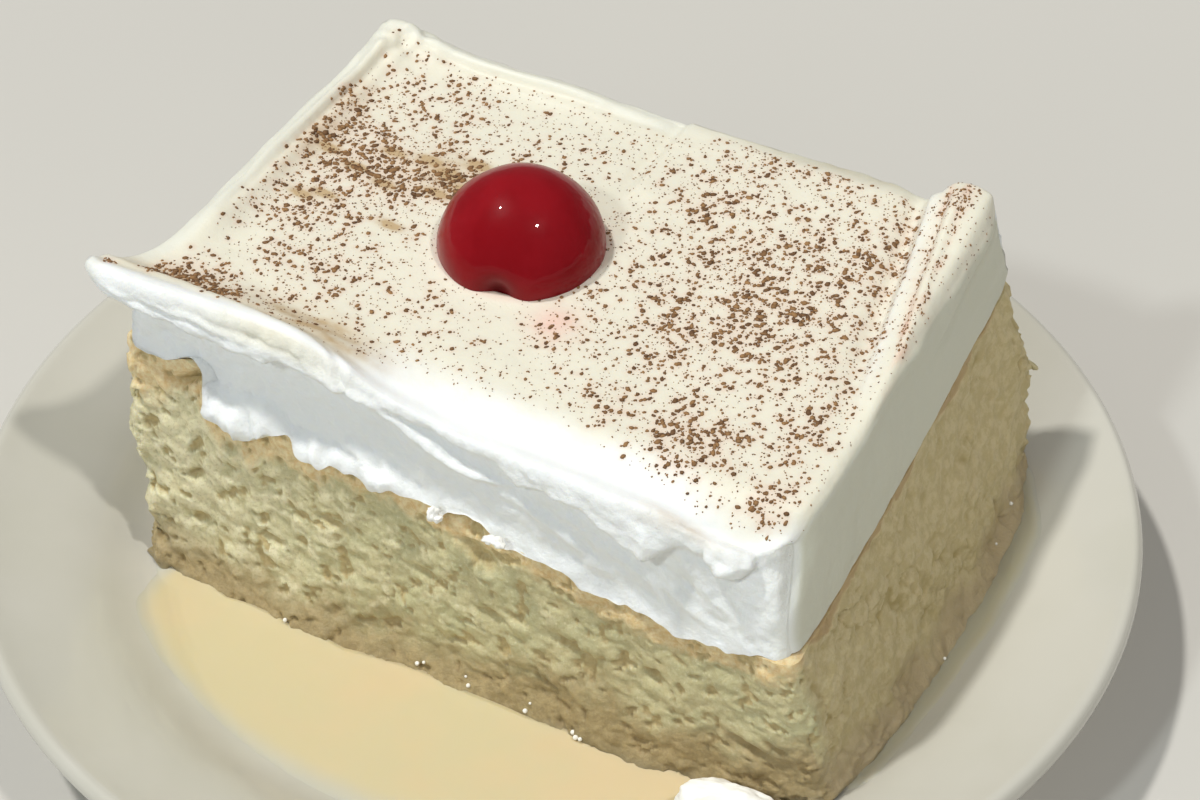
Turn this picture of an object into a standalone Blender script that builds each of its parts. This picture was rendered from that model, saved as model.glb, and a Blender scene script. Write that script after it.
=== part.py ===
"""A cut square of tres leches cake on a small round plate: soaked sponge, whipped cream dusted
with cinnamon, a cherry, the pool of milk at its front and a dab of cream beside it.

The sizes and the shape functions are in millimetres. Each mesh is scaled to metres when it is
finished. The plate stands on z = 0 with its centre at the origin. The cake's own shapes use u
along its long side, v towards its back and z up, and an empty turns them on the plate.
"""

from math import copysign, cos, exp, hypot, pi, radians, sin, sqrt
import random

import bmesh
import bpy
from mathutils import Matrix, Vector, noise

MM = 0.001
GAP = 0.3

# Plate
PLATE_STEPS = 48
PLATE_WELL = (
    (0, 7.2),
    (40, 7.2),
    (46, 7.3),
    (50, 7.6),
    (54, 8.3),
    (57, 9.3),
    (60, 10.9),
    (62.5, 12.6),
    (66, 14.3),
    (71, 15.8),
    (76, 17.2),
    (78.6, 18.3),
)
PLATE_LIP = ((79.5, 18.2), (80, 17.4), (79.7, 15.8), (78, 14.4))
PLATE_UNDERSIDE = (
    (70, 11.6),
    (62, 8.2),
    (55, 4.6),
    (49.6, 3.0),
    (48, 0.3),
    (47.5, 0),
    (44.5, 0),
    (44, 0.3),
    (42.5, 2.6),
    (0, 3.0),
)

# Cake
CAKE_CENTRE = (2.3, 6.6)
CAKE_TURN = -28.1
HALF_LENGTH = 47.8
HALF_WIDTH = 33.7
# Corner rounds: left, right, back left and back right
CORNER_RADII = {(-1, -1): 2.6, (1, -1): 2.2, (-1, 1): 4.2, (1, 1): 3.4}
SPONGE_CELLS = (35, 26, 12)
CREAM_CELLS = (35, 26, 6)
HIDDEN_BLOCK = 3

# How far the soaked walls stand out past the top's outline, as (height, distance)
RIGHT_WALL = ((9, 8.6), (16, 7.2), (22, 5.8), (34, 2.2), (50, 0.2))
RIGHT_WALL_BACK = ((10, 5.6), (31, 5.3), (37, 3.8), (46, 0.4), (52, 0))
FRONT_WALL = ((9, 3.2), (14, 2.6), (34, 0.9), (48, 0))
FOOT_BULGES = ((-21, 9.0, 1.4), (22, 9.0, 1.7))
LEFT_WALL = ((9, 0), (20, 0.2), (28, 2.6), (36, 2.2), (47, 1.0), (52, 0.2))
BACK_WALL = ((14, 2.4), (28, 2.0), (45, 0.8), (54, 0))
# How far the front right corner leans out, from the top down
CORNER_LEAN = 1.1

# The crumb of the cut faces: size and depth of its lumps, its fine lumps and its pockets
CRUMB_LUMPS, CRUMB_FINE, CRUMB_POCKETS = (4.6, 1.0), (2.6, 0.5), (3.6, 4.5)
POCKET_SHARE = 0.28
# Over this height above its foot, and this share below its top, the cut face is smooth
SMOOTH_FOOT, SMOOTH_TOP = 6, 0.8

# Height of the sponge under the cream: along its front edge, and along its back
CRUST_FRONT = ((-50, 45.7), (-20, 39.2), (10, 34.6), (30, 32.6), (50, 33.0))
CRUST_BACK = 45.2
CRUST_SAG = 1.3
# Where the cream runs down or stops short at the front, as (place, half width, height)
CRUST_NOTCHES = (
    (-38, 4.0, 2.6),
    (-30.3, 4.4, -5.0),
    (-21, 2.2, -1.8),
    (5.5, 3.0, -1.4),
    (23, 3.0, -1.2),
    (35, 6.0, -1.6),
)
NOTCH_DEPTH = 4.0

# Cream
TOP_FRONT_LEFT, TOP_FRONT_RIGHT = 54.0, 50.2
TOP_BACK_LEFT, TOP_BACK_RIGHT = 53.6, 54.6
TOP_DOME = 0.5
CREAM_GAP = 0.4
# Rims and bumps of the cream's top, as (height, distance in from the edge, half width)
LEFT_RIM = (1.9, 1.8, 2.6)
BACK_RIM = (1.5, 1.8, 2.6)
FRONT_RIM = (3.4, 1.2, 4.2)
# Where each rim begins or ends along its edge
LEFT_RIM_FROM = (-26, -14)
BACK_RIM_TO = (-20, 0)
FRONT_RIM_TO = (-24, -8)
# The back left corner's peak, as (u, v, half width, height)
BACK_PEAK = (-44.5, 30.5, 6.5, 1.9)
# Inner line of the raised band along the right edge: its place at the middle, and how far it
# turns in towards the back
BAND_LINE = (44.0, 0.2)
BAND_FADE = (-24, 8)
BAND_HEIGHT, BAND_GROOVE, BAND_FALL, BAND_END = 1.7, 0.7, 2.2, 1.0
# The front shoulder: how far it falls, over what distance, and from where along the edge
SHOULDER_FALL, SHOULDER_WIDTH, SHOULDER_FROM = 2.4, 8, (-16, 4)
# The low lobe at the right end of the shoulder, as (u, half width, height, distance out)
LOBE = (40.5, 6, 1.8, 1.9)
# Bulges of the cream's front and back, as (distance out, share of the height, half width)
LIP, LIP_HOLLOW = (2.2, 0.95, 0.16), (-0.9, 0.6, 0.25)
FOLD = (1.5, 0.86, 0.16)
FOLD_SLOPE, FOLD_PLACE = 0.012, (-2, 16)
BACK_SWELL, BACK_SWELL_PLACE = (2.6, 0.8, 0.25), (22, 12)
BAND_BACK, BAND_BACK_FROM = (2.6, 0.95, 0.3), (36, 40)
# The curl of the left corner: its reach, and its push as (u, v, z)
CURL_REACH, CURL_PUSH = 9.5, (-5.6, -0.4, -0.4)

# Cherry
CHERRY_RADIUS = 10.8
CHERRY_PLACE = (-7.5, -0.3, 53.8)
CHERRY_FLATTENING = 0.95
DIMPLE_WAY = Vector((-0.25, -0.8, -0.55)).normalized()
DIMPLE_RADIUS = 3.2
DIMPLE_DEPTH = 1.1

# Milk
MILK_LEVEL = 8.8
MILK_FILM = 0.6
MILK_FROM, MILK_TO = -48.5, 34.5
MILK_CELLS = (30, 6)
MILK_SHORE = ((-177, 58.4), (-170, 56.4), (-158, 54.2), (-147, 52.0), (-135, 50.4), (-120, 50.0),
              (-105, 50.6), (-90, 51.0), (-77, 51.2))

# Dab of cream on the plate
DAB_PLACE = (46.5, -43.6)
DAB_RADII = (8.0, 4.9, 4.4)
DAB_RISE = 1.2
DAB_UNEVENNESS = 0.14

# Cinnamon clumps large enough to show as grains
CLUMP_COUNT = 48
CLUMP_RADIUS = (0.55, 0.95)
CLUMP_SPACE = 4
CLUMP_RISE = 0.15
CLUMP_SEED = 7
# Where the cinnamon lies thick, as (u, half width, v, half width), and its least share elsewhere
DUSTED = ((-30, 16, 8, 16), (28, 18, -8, 18))
LEAST_DUST = 0.15


def clamp(x):
    return min(max(x, 0.0), 1.0)


def step(x, start, end):
    """0 before start, 1 past end, smooth between them."""
    f = clamp((x - start) / (end - start))
    return f * f * (3 - 2 * f)


def hill(x, centre, width):
    """1 at the centre, falling away on both sides."""
    return exp(-(((x - centre) / width) ** 2))


def along(knots, x):
    """Straight lines through (place, value) knots, level beyond the ends."""
    if x <= knots[0][0]:
        return knots[0][1]
    for (x0, y0), (x1, y1) in zip(knots, knots[1:]):
        if x <= x1:
            return y0 + (y1 - y0) * (x - x0) / (x1 - x0)
    return knots[-1][1]


def on_plate(u, v):
    """Plate coordinates of a place given in the cake's own."""
    turn = radians(CAKE_TURN)
    x = CAKE_CENTRE[0] + u * cos(turn) - v * sin(turn)
    y = CAKE_CENTRE[1] + u * sin(turn) + v * cos(turn)
    return x, y


def well_height(u, v):
    """Height of the plate under a place of the cake."""
    return along(PLATE_WELL, hypot(*on_plate(u, v)))


# Shared shape of the cake


def rounded(u, v):
    """Draws the corners of the rectangle in to a round."""
    radius = CORNER_RADII[copysign(1, u), copysign(1, v)]
    inner_u, inner_v = HALF_LENGTH - radius, HALF_WIDTH - radius
    x, y = (abs(u) - inner_u) / radius, (abs(v) - inner_v) / radius
    if x <= 0 or y <= 0:
        return u, v
    round_x, round_y = x * sqrt(1 - y * y / 2), y * sqrt(1 - x * x / 2)
    return copysign(inner_u + radius * round_x, u), copysign(inner_v + radius * round_y, v)


def spread(s, t, height):
    """The wall's place at this height. s and t run from -1 to 1 across the cake."""
    u, v = rounded(s * HALF_LENGTH, t * HALF_WIDTH)
    far = step(t, 0.6, 1)
    right = along(RIGHT_WALL, height) * (1 - far) + along(RIGHT_WALL_BACK, height) * far
    front = along(FRONT_WALL, height) * (0.6 + 0.4 * step(s, -1, 1))
    front += CORNER_LEAN * step(s, 0.6, 1) * step(height, 50, 34)
    for place, width, bulge in FOOT_BULGES:
        front += bulge * hill(u, place, width) * (1 - step(height, 10, 22))
    side_u = right if s > 0 else along(LEFT_WALL, height)
    side_v = along(BACK_WALL, height) if t > 0 else front
    return u + u / HALF_LENGTH * side_u, v + v / HALF_WIDTH * side_v


def crust_height(u, v):
    """Height of the sponge's top, which the cream lies on."""
    back = clamp((v + HALF_WIDTH) / (2 * HALF_WIDTH)) ** CRUST_SAG
    height = along(CRUST_FRONT, u) * (1 - back) + CRUST_BACK * back
    near_front = exp(-max(v + HALF_WIDTH, 0) / NOTCH_DEPTH)
    for place, width, depth in CRUST_NOTCHES:
        height += depth * hill(u, place, width) * near_front
    return height


def box_cells(cells):
    """A box from -1 to 1, cut into cells."""
    bm = bmesh.new()
    bmesh.ops.create_cube(bm, size=2)
    for axis, count in enumerate(cells):
        normal = Vector([float(axis == k) for k in range(3)])
        for cut in range(1, count):
            bmesh.ops.bisect_plane(
                bm,
                geom=bm.verts[:] + bm.edges[:] + bm.faces[:],
                plane_co=normal * (2 * cut / count - 1),
                plane_no=normal,
            )
    return bm


def coarsen(bm, cells, level):
    """Merges the cells of a hidden top or bottom in blocks, away from its border."""

    def index(vert, axis):
        return round((vert.co[axis] + 1) / 2 * cells[axis])

    inside = []
    for edge in bm.edges:
        if any(abs(vert.co.z - level) > 1e-6 for vert in edge.verts):
            continue
        for axis in (0, 1):
            lines = {index(vert, axis) for vert in edge.verts}
            across = {index(vert, 1 - axis) for vert in edge.verts}
            held = min(across) >= 1 and max(across) <= cells[1 - axis] - 1
            line = lines.pop()
            if not lines and held and 1 < line < cells[axis] - 1 and (line - 1) % HIDDEN_BLOCK:
                inside.append(edge)
    bmesh.ops.dissolve_edges(bm, edges=inside, use_verts=True)


def finished(bm, name, material, parent=None):
    """Makes an object in metres of the mesh, with its faces pointing out.

    Faces are split along their shorter diagonal, so that layers which lie on each other match.
    """
    bmesh.ops.recalc_face_normals(bm, faces=bm.faces)
    bmesh.ops.triangulate(bm, faces=bm.faces, quad_method="SHORT_EDGE")
    bmesh.ops.scale(bm, vec=(MM, MM, MM), verts=bm.verts)
    mesh = bpy.data.meshes.new(name)
    bm.to_mesh(mesh)
    bm.free()
    mesh.shade_smooth()
    mesh.materials.append(material)
    obj = bpy.data.objects.new(name, mesh)
    obj.parent = parent
    parts.objects.link(obj)
    return obj


def principled(name, colour, roughness, coat=0.0, subsurface=0.0):
    material = bpy.data.materials.new(name)
    material.use_nodes = True
    shader = material.node_tree.nodes["Principled BSDF"]
    shader.inputs["Base Color"].default_value = (*colour, 1)
    shader.inputs["Roughness"].default_value = roughness
    shader.inputs["Coat Weight"].default_value = coat
    shader.inputs["Subsurface Weight"].default_value = subsurface
    material.diffuse_color = (*colour, 1)
    return material


# Plate


def make_plate():
    """A turned plate: well, rolled lip, underside and foot ring, from the middle outwards."""
    profile = PLATE_WELL + PLATE_LIP + PLATE_UNDERSIDE
    mesh = bpy.data.meshes.new("plate")
    mesh.from_pydata(
        [(radius * MM, 0, height * MM) for radius, height in profile],
        [(k, k + 1) for k in range(len(profile) - 1)],
        [],
    )
    mesh.materials.append(principled("plate_glaze", (0.78, 0.77, 0.68), 0.18, coat=0.3))
    plate = bpy.data.objects.new("plate", mesh)
    parts.objects.link(plate)
    screw = plate.modifiers.new("turn", "SCREW")
    screw.steps = screw.render_steps = PLATE_STEPS
    screw.use_merge_vertices = True
    screw.merge_threshold = 0.00001
    screw.use_smooth_shade = True
    return plate


# Sponge


def crumb(point, face):
    """How far the crumb stands out of the cut face. face tells the sides apart."""
    offset = Vector((31.0 * face, 17.0, 5.0))
    out = 0.0
    for size, depth in (CRUMB_LUMPS, CRUMB_FINE):
        out += depth * noise.noise(point / size + offset)
    size, depth = CRUMB_POCKETS
    return out - depth * max(noise.noise(point / size - offset) - POCKET_SHARE, 0)


def make_sponge(parent):
    bm = box_cells(SPONGE_CELLS)
    for level in (-1, 1):
        coarsen(bm, SPONGE_CELLS, level)
    for vert in bm.verts:
        s, t, w = vert.co.x, vert.co.y, (vert.co.z + 1) / 2
        flat_u, flat_v = s * HALF_LENGTH, t * HALF_WIDTH
        foot = well_height(flat_u, flat_v) + GAP
        height = foot + (crust_height(flat_u, flat_v) - foot) * w
        u, v = spread(s, t, height)
        wall_u, wall_v = abs(s) > 0.999, abs(t) > 0.999
        if wall_u or wall_v:
            out = crumb(Vector((u, v, height)), wall_u + 2 * wall_v)
            out *= step(height - foot, 0, SMOOTH_FOOT) * (1 - 0.9 * step(w, SMOOTH_TOP, 1))
            u += wall_u * copysign(out, s)
            v += wall_v * copysign(out, t)
        foot = well_height(u, v) + GAP
        vert.co = (u, v, foot + (crust_height(u, v) - foot) * w)
    return finished(bm, "sponge", principled("sponge_crumb", (0.66, 0.58, 0.34), 0.75), parent)


# Whipped cream


def rim(shape, distance):
    height, place, width = shape
    return height * hill(distance, place, width)


def cream_top(u, v):
    """Height of the cream's top, with its rims and its raised band."""
    across = clamp((u + HALF_LENGTH) / (2 * HALF_LENGTH))
    back = clamp((v + HALF_WIDTH) / (2 * HALF_WIDTH))
    front_height = TOP_FRONT_LEFT + (TOP_FRONT_RIGHT - TOP_FRONT_LEFT) * across
    back_height = TOP_BACK_LEFT + (TOP_BACK_RIGHT - TOP_BACK_LEFT) * across
    height = front_height + (back_height - front_height) * back
    height += TOP_DOME * sin(pi * across) * sin(pi * back)
    from_left, from_right = u + HALF_LENGTH, HALF_LENGTH - u
    from_front, from_back = v + HALF_WIDTH, HALF_WIDTH - v
    # Rims that stand up along the left edge, the back edge and the left half of the front edge
    height += max(
        rim(LEFT_RIM, from_left) * step(v, *LEFT_RIM_FROM),
        rim(BACK_RIM, from_back) * (1 - step(u, *BACK_RIM_TO)),
    )
    height += rim(FRONT_RIM, from_front) * (1 - step(u, *FRONT_RIM_TO))
    peak_u, peak_v, width, peak = BACK_PEAK
    height += peak * hill(hypot(u - peak_u, v - peak_v), 0, width)
    # Raised band along the right edge, wide at the back and gone before the front
    into_band = u - (BAND_LINE[0] - BAND_LINE[1] * v)
    band = step(v, *BAND_FADE)
    height += BAND_HEIGHT * step(into_band, -0.6, 2.2) * band
    height -= BAND_GROOVE * hill(into_band, -2.4, 2.0) * band
    height -= BAND_FALL * (1 - step(from_right, -1, 4)) * (0.4 + 0.6 * band)
    height += BAND_END * hill(into_band, 4, 4) * step(v, 22, HALF_WIDTH)
    # Shoulder that falls to the front edge, and the low lobe at its right end
    height -= SHOULDER_FALL * (1 - step(from_front, -1, SHOULDER_WIDTH)) * step(u, *SHOULDER_FROM)
    place, width, fall, _ = LOBE
    height -= fall * hill(u, place, width) * hill(from_front, 0, 4.0)
    return height


def cream_wall(s, t, w):
    """How far the cream's side stands out of the cut face, at w of its height."""
    u = s * HALF_LENGTH
    out = 0.0
    if t < -0.999:
        # Lip over a hollow on the left, a fold that runs down to the right, a lobe at the right
        out += (rim(LIP, w) + rim(LIP_HOLLOW, w)) * (1 - step(u, *FRONT_RIM_TO))
        sunk = FOLD_SLOPE * (u - FOLD_PLACE[0] + FOLD_PLACE[1])
        out += rim(FOLD, w + sunk) * hill(u, *FOLD_PLACE)
        place, width, _, lobe_out = LOBE
        out += lobe_out * hill(w, 0.82, 0.2) * hill(u, place, width)
    elif t > 0.999:
        # Swelling along the right half of the back, and the end of the raised band
        out += rim(BACK_SWELL, w) * hill(u, *BACK_SWELL_PLACE)
        out += rim(BAND_BACK, w) * step(u, *BAND_BACK_FROM)
    return out


def curl(s, t, w):
    """Push of the lip that curls out at the left corner, as (u, v, z)."""
    reach = hypot((s + 1) * HALF_LENGTH, (t + 1) * HALF_WIDTH)
    near = hill(reach, 0, CURL_REACH) * step(w, 0.6, 1)
    return [push * near for push in CURL_PUSH]


def make_cream(parent):
    bm = box_cells(CREAM_CELLS)
    coarsen(bm, CREAM_CELLS, -1)
    for vert in bm.verts:
        s, t = vert.co.x, vert.co.y
        w = 1 - ((1 - vert.co.z) / 2) ** 1.5
        flat_u, flat_v = s * HALF_LENGTH, t * HALF_WIDTH
        crust = crust_height(flat_u, flat_v)
        u, v = spread(s, t, crust + (cream_top(flat_u, flat_v) - crust) * w)
        v += copysign(cream_wall(s, t, w), t)
        lift_u, lift_v, lift_z = curl(s, t, w)
        low = crust_height(u, v) + CREAM_GAP
        height = low + (cream_top(u, v) - low) * w
        vert.co = (u + lift_u, v + lift_v, height + lift_z)
    material = principled("whipped_cream", (0.92, 0.91, 0.87), 0.5, subsurface=0.2)
    return finished(bm, "cream", material, parent)


def add_cinnamon(cream):
    """Joins the largest clumps of cinnamon to the cream's top."""
    material = principled("cinnamon", (0.22, 0.10, 0.05), 0.85)
    draw = random.Random(CLUMP_SEED)
    grains = bpy.data.collections.new("cinnamon_clumps")
    bpy.context.scene.collection.children.link(grains)
    placed = []
    while len(placed) < CLUMP_COUNT:
        u, v = draw.uniform(-42, 38), draw.uniform(-24, 28)
        near_cherry = hypot(u - CHERRY_PLACE[0], v - CHERRY_PLACE[1]) < CHERRY_RADIUS + 3
        crowded_out = any(hypot(u - x, v - y) < CLUMP_SPACE for x, y in placed)
        if near_cherry or crowded_out or draw.random() > dusting(u, v):
            continue
        placed.append((u, v))
        radius = CLUMP_RADIUS[0] + (CLUMP_RADIUS[1] - CLUMP_RADIUS[0]) / len(placed)
        bm = bmesh.new()
        bmesh.ops.create_icosphere(bm, subdivisions=1, radius=radius)
        bmesh.ops.scale(bm, vec=(draw.uniform(1, 1.5), 1, 0.6), verts=bm.verts)
        bmesh.ops.rotate(bm, matrix=Matrix.Rotation(draw.uniform(0, pi), 3, "Z"), verts=bm.verts)
        bmesh.ops.translate(bm, vec=(u, v, cream_top(u, v) + CLUMP_RISE), verts=bm.verts)
        grain = finished(bm, f"clump_{len(placed)}", material, cream.parent)
        parts.objects.unlink(grain)
        grains.objects.link(grain)
    union = cream.modifiers.new("cinnamon", "BOOLEAN")
    union.operation = "UNION"
    union.operand_type = "COLLECTION"
    union.collection = grains
    union.material_mode = "TRANSFER"
    bpy.context.view_layer.update()
    joined = bpy.data.meshes.new_from_object(
        cream.evaluated_get(bpy.context.evaluated_depsgraph_get())
    )
    cream.modifiers.remove(union)
    joined.set_sharp_from_angle(angle=radians(50))
    cream.data = joined
    for grain in list(grains.objects):
        bpy.data.objects.remove(grain)
    bpy.data.collections.remove(grains)


def dusting(u, v):
    """Share of the top that the cinnamon covers: thick at the left and at the front right."""
    thick = max(hill(u, at_u, wide) * hill(v, at_v, deep) for at_u, wide, at_v, deep in DUSTED)
    return LEAST_DUST + (1 - LEAST_DUST) * thick


# Cherry


def cherry_shape(radius, dimple):
    bm = bmesh.new()
    bmesh.ops.create_uvsphere(bm, u_segments=22, v_segments=12, radius=radius)
    for vert in bm.verts:
        way = vert.co.normalized()
        off_axis = (way - DIMPLE_WAY).length * radius
        vert.co = way * (radius - dimple * hill(off_axis, 0, DIMPLE_RADIUS))
    bmesh.ops.scale(bm, vec=(1, 1, CHERRY_FLATTENING), verts=bm.verts)
    bmesh.ops.translate(bm, vec=CHERRY_PLACE, verts=bm.verts)
    return bm


def make_cherry(parent):
    material = principled("cherry_red", (0.42, 0.01, 0.02), 0.12, coat=0.6)
    return finished(cherry_shape(CHERRY_RADIUS, DIMPLE_DEPTH), "cherry", material, parent)


def cut_seat(cream, cherry):
    """Presses the cherry's seat into the cream."""
    cutter = finished(cherry_shape(CHERRY_RADIUS + GAP, 0), "cherry_seat", cherry.active_material,
                      cherry.parent)
    parts.objects.unlink(cutter)
    cutters.objects.link(cutter)
    cutter.hide_render = True
    cutter.display_type = "WIRE"
    seat = cream.modifiers.new("seat", "BOOLEAN")
    seat.operation = "DIFFERENCE"
    seat.object = cutter


# Milk


def foot_of_front(u):
    """The sponge's front wall where the milk meets it."""
    s = u / HALF_LENGTH
    return spread(s, -1, MILK_LEVEL)[1]


def make_milk():
    """A pool from the front wall's foot out to its shore on the well of the plate."""
    bm = bmesh.new()
    bmesh.ops.create_grid(bm, x_segments=MILK_CELLS[0], y_segments=MILK_CELLS[1], size=0.5)
    for vert in bm.verts:
        along_foot, out = vert.co.x + 0.5, 0.5 - vert.co.y
        u = MILK_FROM + (MILK_TO - MILK_FROM) * along_foot
        near = Vector(on_plate(u, foot_of_front(u) - 2.5 * GAP))
        angle = MILK_SHORE[0][0] + (MILK_SHORE[-1][0] - MILK_SHORE[0][0]) * along_foot
        reach = along(MILK_SHORE, angle)
        far = Vector((reach * cos(radians(angle)), reach * sin(radians(angle))))
        x, y = near.lerp(far, out)
        film = MILK_FILM * (1 - 0.4 * step(out, 0.8, 1))
        vert.co = (x, y, max(MILK_LEVEL, along(PLATE_WELL, hypot(x, y)) + GAP + film))
    below = bmesh.ops.extrude_face_region(bm, geom=bm.faces[:])["geom"]
    for vert in (part for part in below if isinstance(part, bmesh.types.BMVert)):
        vert.co.z = along(PLATE_WELL, vert.co.xy.length) + GAP
    return finished(bm, "milk", principled("milk", (0.80, 0.68, 0.42), 0.1, coat=0.2))


# Dab of cream


def make_dab(parent):
    bm = bmesh.new()
    bmesh.ops.create_icosphere(bm, subdivisions=3, radius=1)
    middle = well_height(*DAB_PLACE) + DAB_RISE
    for vert in bm.verts:
        way = vert.co.normalized()
        size = 1 + DAB_UNEVENNESS * noise.noise(way * 1.7 + Vector((3.0, 8.0, 1.0)))
        u = DAB_PLACE[0] + way.x * DAB_RADII[0] * size
        v = DAB_PLACE[1] + way.y * DAB_RADII[1] * size
        height = middle + way.z * DAB_RADII[2] * size
        vert.co = (u, v, max(height, well_height(u, v) + GAP))
    return finished(bm, "cream_dab", principled("dab_cream", (0.92, 0.91, 0.87), 0.45), parent)


for old in list(bpy.data.objects):
    bpy.data.objects.remove(old)

parts = bpy.data.collections.new("tres_leches_cake")
bpy.context.scene.collection.children.link(parts)

cutters = bpy.data.collections.new("cutters")
bpy.context.scene.collection.children.link(cutters)

cake_place = bpy.data.objects.new("cake_place", None)
cake_place.location = (CAKE_CENTRE[0] * MM, CAKE_CENTRE[1] * MM, 0)
cake_place.rotation_euler.z = radians(CAKE_TURN)
parts.objects.link(cake_place)

make_plate()
make_milk()
make_sponge(cake_place)
cream = make_cream(cake_place)
add_cinnamon(cream)
cut_seat(cream, make_cherry(cake_place))
make_dab(cake_place)
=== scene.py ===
"""The looks of a square of tres leches cake on its small plate.

The shapes are worked out in millimetres, in the cake's own directions: u along its long side from
the left end to the right, v from its front to its back, z up. The sponge and the cream start as
boxes on which s and t run from -1 to 1 along u and v, and w from 0 to 1 upwards. Each finished mesh
is turned onto the plate and scaled to metres. The plate and the milk are made in the plate's own
directions.
"""

from math import cos, hypot, pi, radians, sin
import random

import bmesh
import bpy
import numpy as np
from mathutils import Matrix, Vector, noise
from mathutils.bvhtree import BVHTree


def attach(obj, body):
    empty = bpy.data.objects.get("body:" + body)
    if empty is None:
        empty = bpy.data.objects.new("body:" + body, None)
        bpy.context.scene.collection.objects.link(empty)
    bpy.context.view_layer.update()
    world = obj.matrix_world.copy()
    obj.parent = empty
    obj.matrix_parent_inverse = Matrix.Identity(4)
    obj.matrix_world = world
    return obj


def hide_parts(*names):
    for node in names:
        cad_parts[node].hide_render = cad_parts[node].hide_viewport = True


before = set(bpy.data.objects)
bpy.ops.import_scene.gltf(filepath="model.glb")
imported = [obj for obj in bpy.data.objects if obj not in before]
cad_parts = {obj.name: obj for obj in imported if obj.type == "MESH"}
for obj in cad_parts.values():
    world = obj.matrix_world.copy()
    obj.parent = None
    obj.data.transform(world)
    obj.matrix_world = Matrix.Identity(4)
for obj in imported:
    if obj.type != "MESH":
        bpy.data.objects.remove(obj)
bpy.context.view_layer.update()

MM = 0.001
# Gap between the cake and the plate
GAP = 0.3

# Place and size of the slice, as in the solids
CAKE_CENTRE = (2.3, 6.6)
CAKE_TURN = radians(-28.1)
CAKE_MATRIX = Matrix.Rotation(CAKE_TURN, 3, "Z")
HALF_LENGTH, HALF_WIDTH = 47.8, 33.7

# Profile of the plate as (radius, height), from the middle of the well round to the foot
PLATE_WELL = (
    (0, 7.2), (20, 7.2), (40, 7.2), (46, 7.3), (50, 7.6), (54, 8.3), (57, 9.3), (60, 10.9),
    (62.5, 12.6), (66, 14.3), (71, 15.8), (76, 17.2), (78, 18.1),
)
PLATE_EDGE = ((78.9, 18.3), (79.7, 17.7), (80, 16.6), (79.8, 15.5), (78.8, 14.6))
PLATE_UNDERSIDE = (
    (70, 11.6), (62, 8.2), (55, 4.6), (49.6, 3), (48.6, 2), (48, 0.3), (47.6, 0), (46, 0),
    (44.4, 0), (44, 0.3), (43.4, 2), (42.5, 2.6), (20, 2.9), (0, 3),
)

# How far the walls stand out past the top's outline, as (height, distance)
RIGHT_WALL = ((9, 8.6), (16, 7.2), (22, 5.8), (34, 2.2), (50, 0.2))
RIGHT_WALL_BACK = ((10, 5.6), (31, 5.3), (37, 3.8), (46, 0.4), (52, 0))
FRONT_WALL = ((9, 3.2), (14, 2.6), (34, 0.9), (48, 0))
LEFT_WALL = ((9, 0), (20, 0.2), (28, 2.6), (36, 2.2), (47, 1), (52, 0.2))
BACK_WALL = ((14, 2.4), (28, 2), (45, 0.8), (54, 0))
CORNER_LEAN = 1.1
FOOT_BULGES = ((-21, 9, 1.4), (22, 9, 1.7))
# How far the soaked foot sags out, along the front and along the right
FRONT_SAG = (
    (-48, 0.6), (-44.7, 1.4), (-41.9, 1), (-38, 1.6), (-33.5, 3), (-30, 2.2), (-24, 1.8),
    (-19, 1.7), (-14.2, 3), (-8, 2.6), (-2.6, 2.2), (4.8, 2.7), (13, 2.2), (20, 0.6), (25, 0.6),
    (31, 1.6), (38, 1), (47, 0.3),
)
RIGHT_SAG = (
    (-35, 0.4), (-29, 1.2), (-15, 1.9), (0, 2.3), (12, 2.3), (22, 1.7), (30, 0.9), (36, 0.2),
)

# Height of the sponge under the cream along its front, and where the cream's border runs up or down
CRUST_FRONT = ((-50, 45.7), (-20, 39.2), (10, 34.6), (30, 32.6), (50, 33))
CRUST_BACK, CRUST_SAG = 45.2, 1.3
CRUST_NOTCHES = (
    (-38.8, 3, 2.8), (-34.4, 2.2, -3), (-31.8, 1.4, -2), (-29.6, 1.4, -3),
    (-27, 3, -0.8), (-21, 2.2, -1.8), (3.6, 3.4, 1.2), (-8.5, 3.6, 1), (23, 3, -1.2),
    (35, 6, -1.6),
)
NOTCH_DEPTH = 4

CHERRY_PLACE = (-7.5, -0.3, 53.8)
CHERRY_RADIUS, CHERRY_FLATTENING = 10.8, 0.95

# The two grooves of the cream's raised band, as (u at the back, lean)
BAND_GROOVES = ((39, 0.21), (41.6, 0.15))


# Curves and noise, on arrays


def hill(x, centre, width):
    """1 at the centre, falling away on both sides."""
    return np.exp(-(((x - centre) / width) ** 2))


def step(x, start, end):
    """0 before start, 1 past end, smooth between them."""
    f = np.clip((x - start) / (end - start), 0, 1)
    return f * f * (3 - 2 * f)


def along(knots, x):
    """Straight lines through (place, value) knots."""
    return np.interp(x, [k[0] for k in knots], [k[1] for k in knots])


def points_at(x, y=0, z=0):
    return np.stack(np.broadcast_arrays(x, y, z), 1)


def ripples(points, size, shift=0):
    """Smooth noise from -1 to 1 with lumps of this size, at points in millimetres."""
    scaled = (points / np.asarray(size) + shift).tolist()
    return np.array([noise.noise(Vector(p)) for p in scaled])


def lumps(points, size, shift=0):
    """Cells of this size: how near each point is to its cell's middle and to the next cell, and
    a random number for the cell."""
    near, between, which = [], [], []
    for p in (points / np.asarray(size) + shift).tolist():
        distances, middles = noise.voronoi(Vector(p))
        near.append(distances[0])
        between.append(distances[1] - distances[0])
        which.append(noise.cell(middles[0] * 7.31) * 0.5 + 0.5)
    return np.array(near), np.array(between), np.array(which)


# Shape of the slice


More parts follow.
